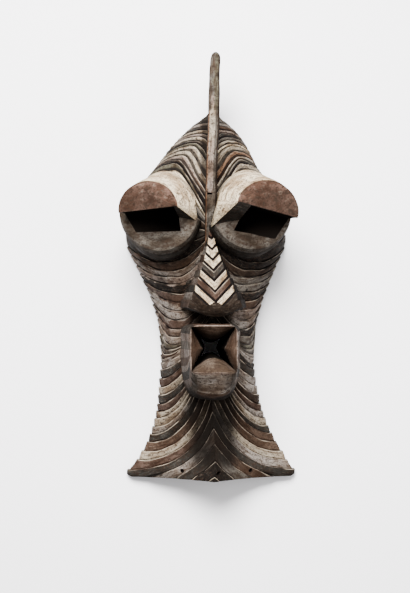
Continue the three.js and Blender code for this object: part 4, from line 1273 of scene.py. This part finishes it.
# Each studio light: where it stands, what it faces, its size in metres, its colour and its beam in degrees
LIGHTS = {
    "key": ((-0.35, 1.15, 1.8), (0, 0, 0.08), 1.2, (1.0, 0.985, 0.96), 90),
    "fill": ((1.3, -0.2, 1.3), (0, 0, 0.05), 1.6, (1.0, 0.99, 0.975), 180),
}
AIR_COLOUR = (1.0, 0.985, 0.97, 1)
AIR_STRENGTH = 0.5
SENSOR_HEIGHT = 36  # millimetres


def area_light(name, watts):
    """One of the studio's square soft lights, turned from its place to what it faces."""
    place, target, size, colour, spread = LIGHTS[name]
    light = bpy.data.lights.new(name, "AREA")
    light.shape = "SQUARE"
    light.size = size
    light.energy = watts
    light.color = colour
    light.spread = math.radians(spread)
    lamp = linked(name, light)
    lamp.location = place
    lamp.rotation_euler = (Vector(target) - Vector(place)).to_track_quat("-Z", "Y").to_euler()


class MASK_OT_studio(bpy.types.Operator):
    """Lay a pale floor, light it softly and stand the camera over the mask's face"""

    bl_idname = "mask.studio"
    bl_label = "Set Up Studio"

    def execute(self, context):
        studio = context.scene.mask_studio
        corners = [(x * FLOOR_HALF, y * FLOOR_HALF, 0) for x, y in ((-1, -1), (1, -1), (1, 1), (-1, 1))]
        mesh = bpy.data.meshes.new("floor")
        mesh.from_pydata(corners, [], [(0, 1, 2, 3)])
        paper, tree, output = new_material("Matt backdrop paper")
        shader = add(tree, "ShaderNodeBsdfPrincipled", {
            "Base Color": (*studio.floor, 1), "Roughness": 0.95, "Specular IOR Level": 0.1,
        })
        tree.links.new(shader.outputs[0], output.inputs[0])
        mesh.materials.append(paper)
        linked("floor", mesh)

        for name in LIGHTS:
            area_light(name, getattr(studio, name))
        world = bpy.data.worlds.new("Studio air")
        world.use_nodes = True
        background = world.node_tree.nodes["Background"]
        background.inputs["Color"].default_value = AIR_COLOUR
        background.inputs["Strength"].default_value = AIR_STRENGTH
        context.scene.world = world

        camera = bpy.data.cameras.new("Camera")
        camera.sensor_fit = "VERTICAL"
        camera.sensor_height = SENSOR_HEIGHT
        camera.lens = SENSOR_HEIGHT * studio.distance / VIEW_HEIGHT
        camera.clip_end = 20
        viewer = linked("Camera", camera)
        turn = math.radians(CAMERA_TURN)
        back = Vector((-math.sin(turn), 0, math.cos(turn)))
        up = Vector((0, 1, 0))
        viewer.matrix_world = Matrix.Translation(Vector(VIEW_CENTRE) + back * studio.distance) @ Matrix(
            (up.cross(back), up, back)
        ).transposed().to_4x4()
        context.scene.camera = viewer
        return {"FINISHED"}


class MASK_PT_panel(bpy.types.Panel):
    """The mask's settings and steps"""

    bl_label = "Kifwebe Mask"
    bl_idname = "MASK_PT_panel"
    bl_space_type = "VIEW_3D"
    bl_region_type = "UI"
    bl_category = "Mask"

    def draw(self, context):
        for settings, step in (("mask_carving", "mask.carve"), ("mask_studio", "mask.studio")):
            column = self.layout.column(align=True)
            group = getattr(context.scene, settings)
            for name in group.__annotations__:
                column.prop(group, name)
            column.operator(step)
        pigments = self.layout.column(align=True)
        for name in PIGMENTS:
            pigments.prop(context.scene.mask_pigments, name)


CLASSES = (MaskPigments, MaskCarving, MaskStudio, MASK_OT_carve, MASK_OT_studio, MASK_PT_panel)


def register():
    """Adds the add-on's classes, and its settings to each scene."""
    for item in CLASSES:
        bpy.utils.register_class(item)
    bpy.types.Scene.mask_pigments = PointerProperty(type=MaskPigments)
    bpy.types.Scene.mask_carving = PointerProperty(type=MaskCarving)
    bpy.types.Scene.mask_studio = PointerProperty(type=MaskStudio)


def unregister():
    """Takes the settings and the classes away again."""
    del bpy.types.Scene.mask_studio
    del bpy.types.Scene.mask_carving
    del bpy.types.Scene.mask_pigments
    for item in reversed(CLASSES):
        bpy.utils.unregister_class(item)


def main():
    """Builds the mask and its studio."""
    register()
    bpy.ops.mask.carve()
    bpy.ops.mask.studio()


if __name__ == "__main__":
    main()
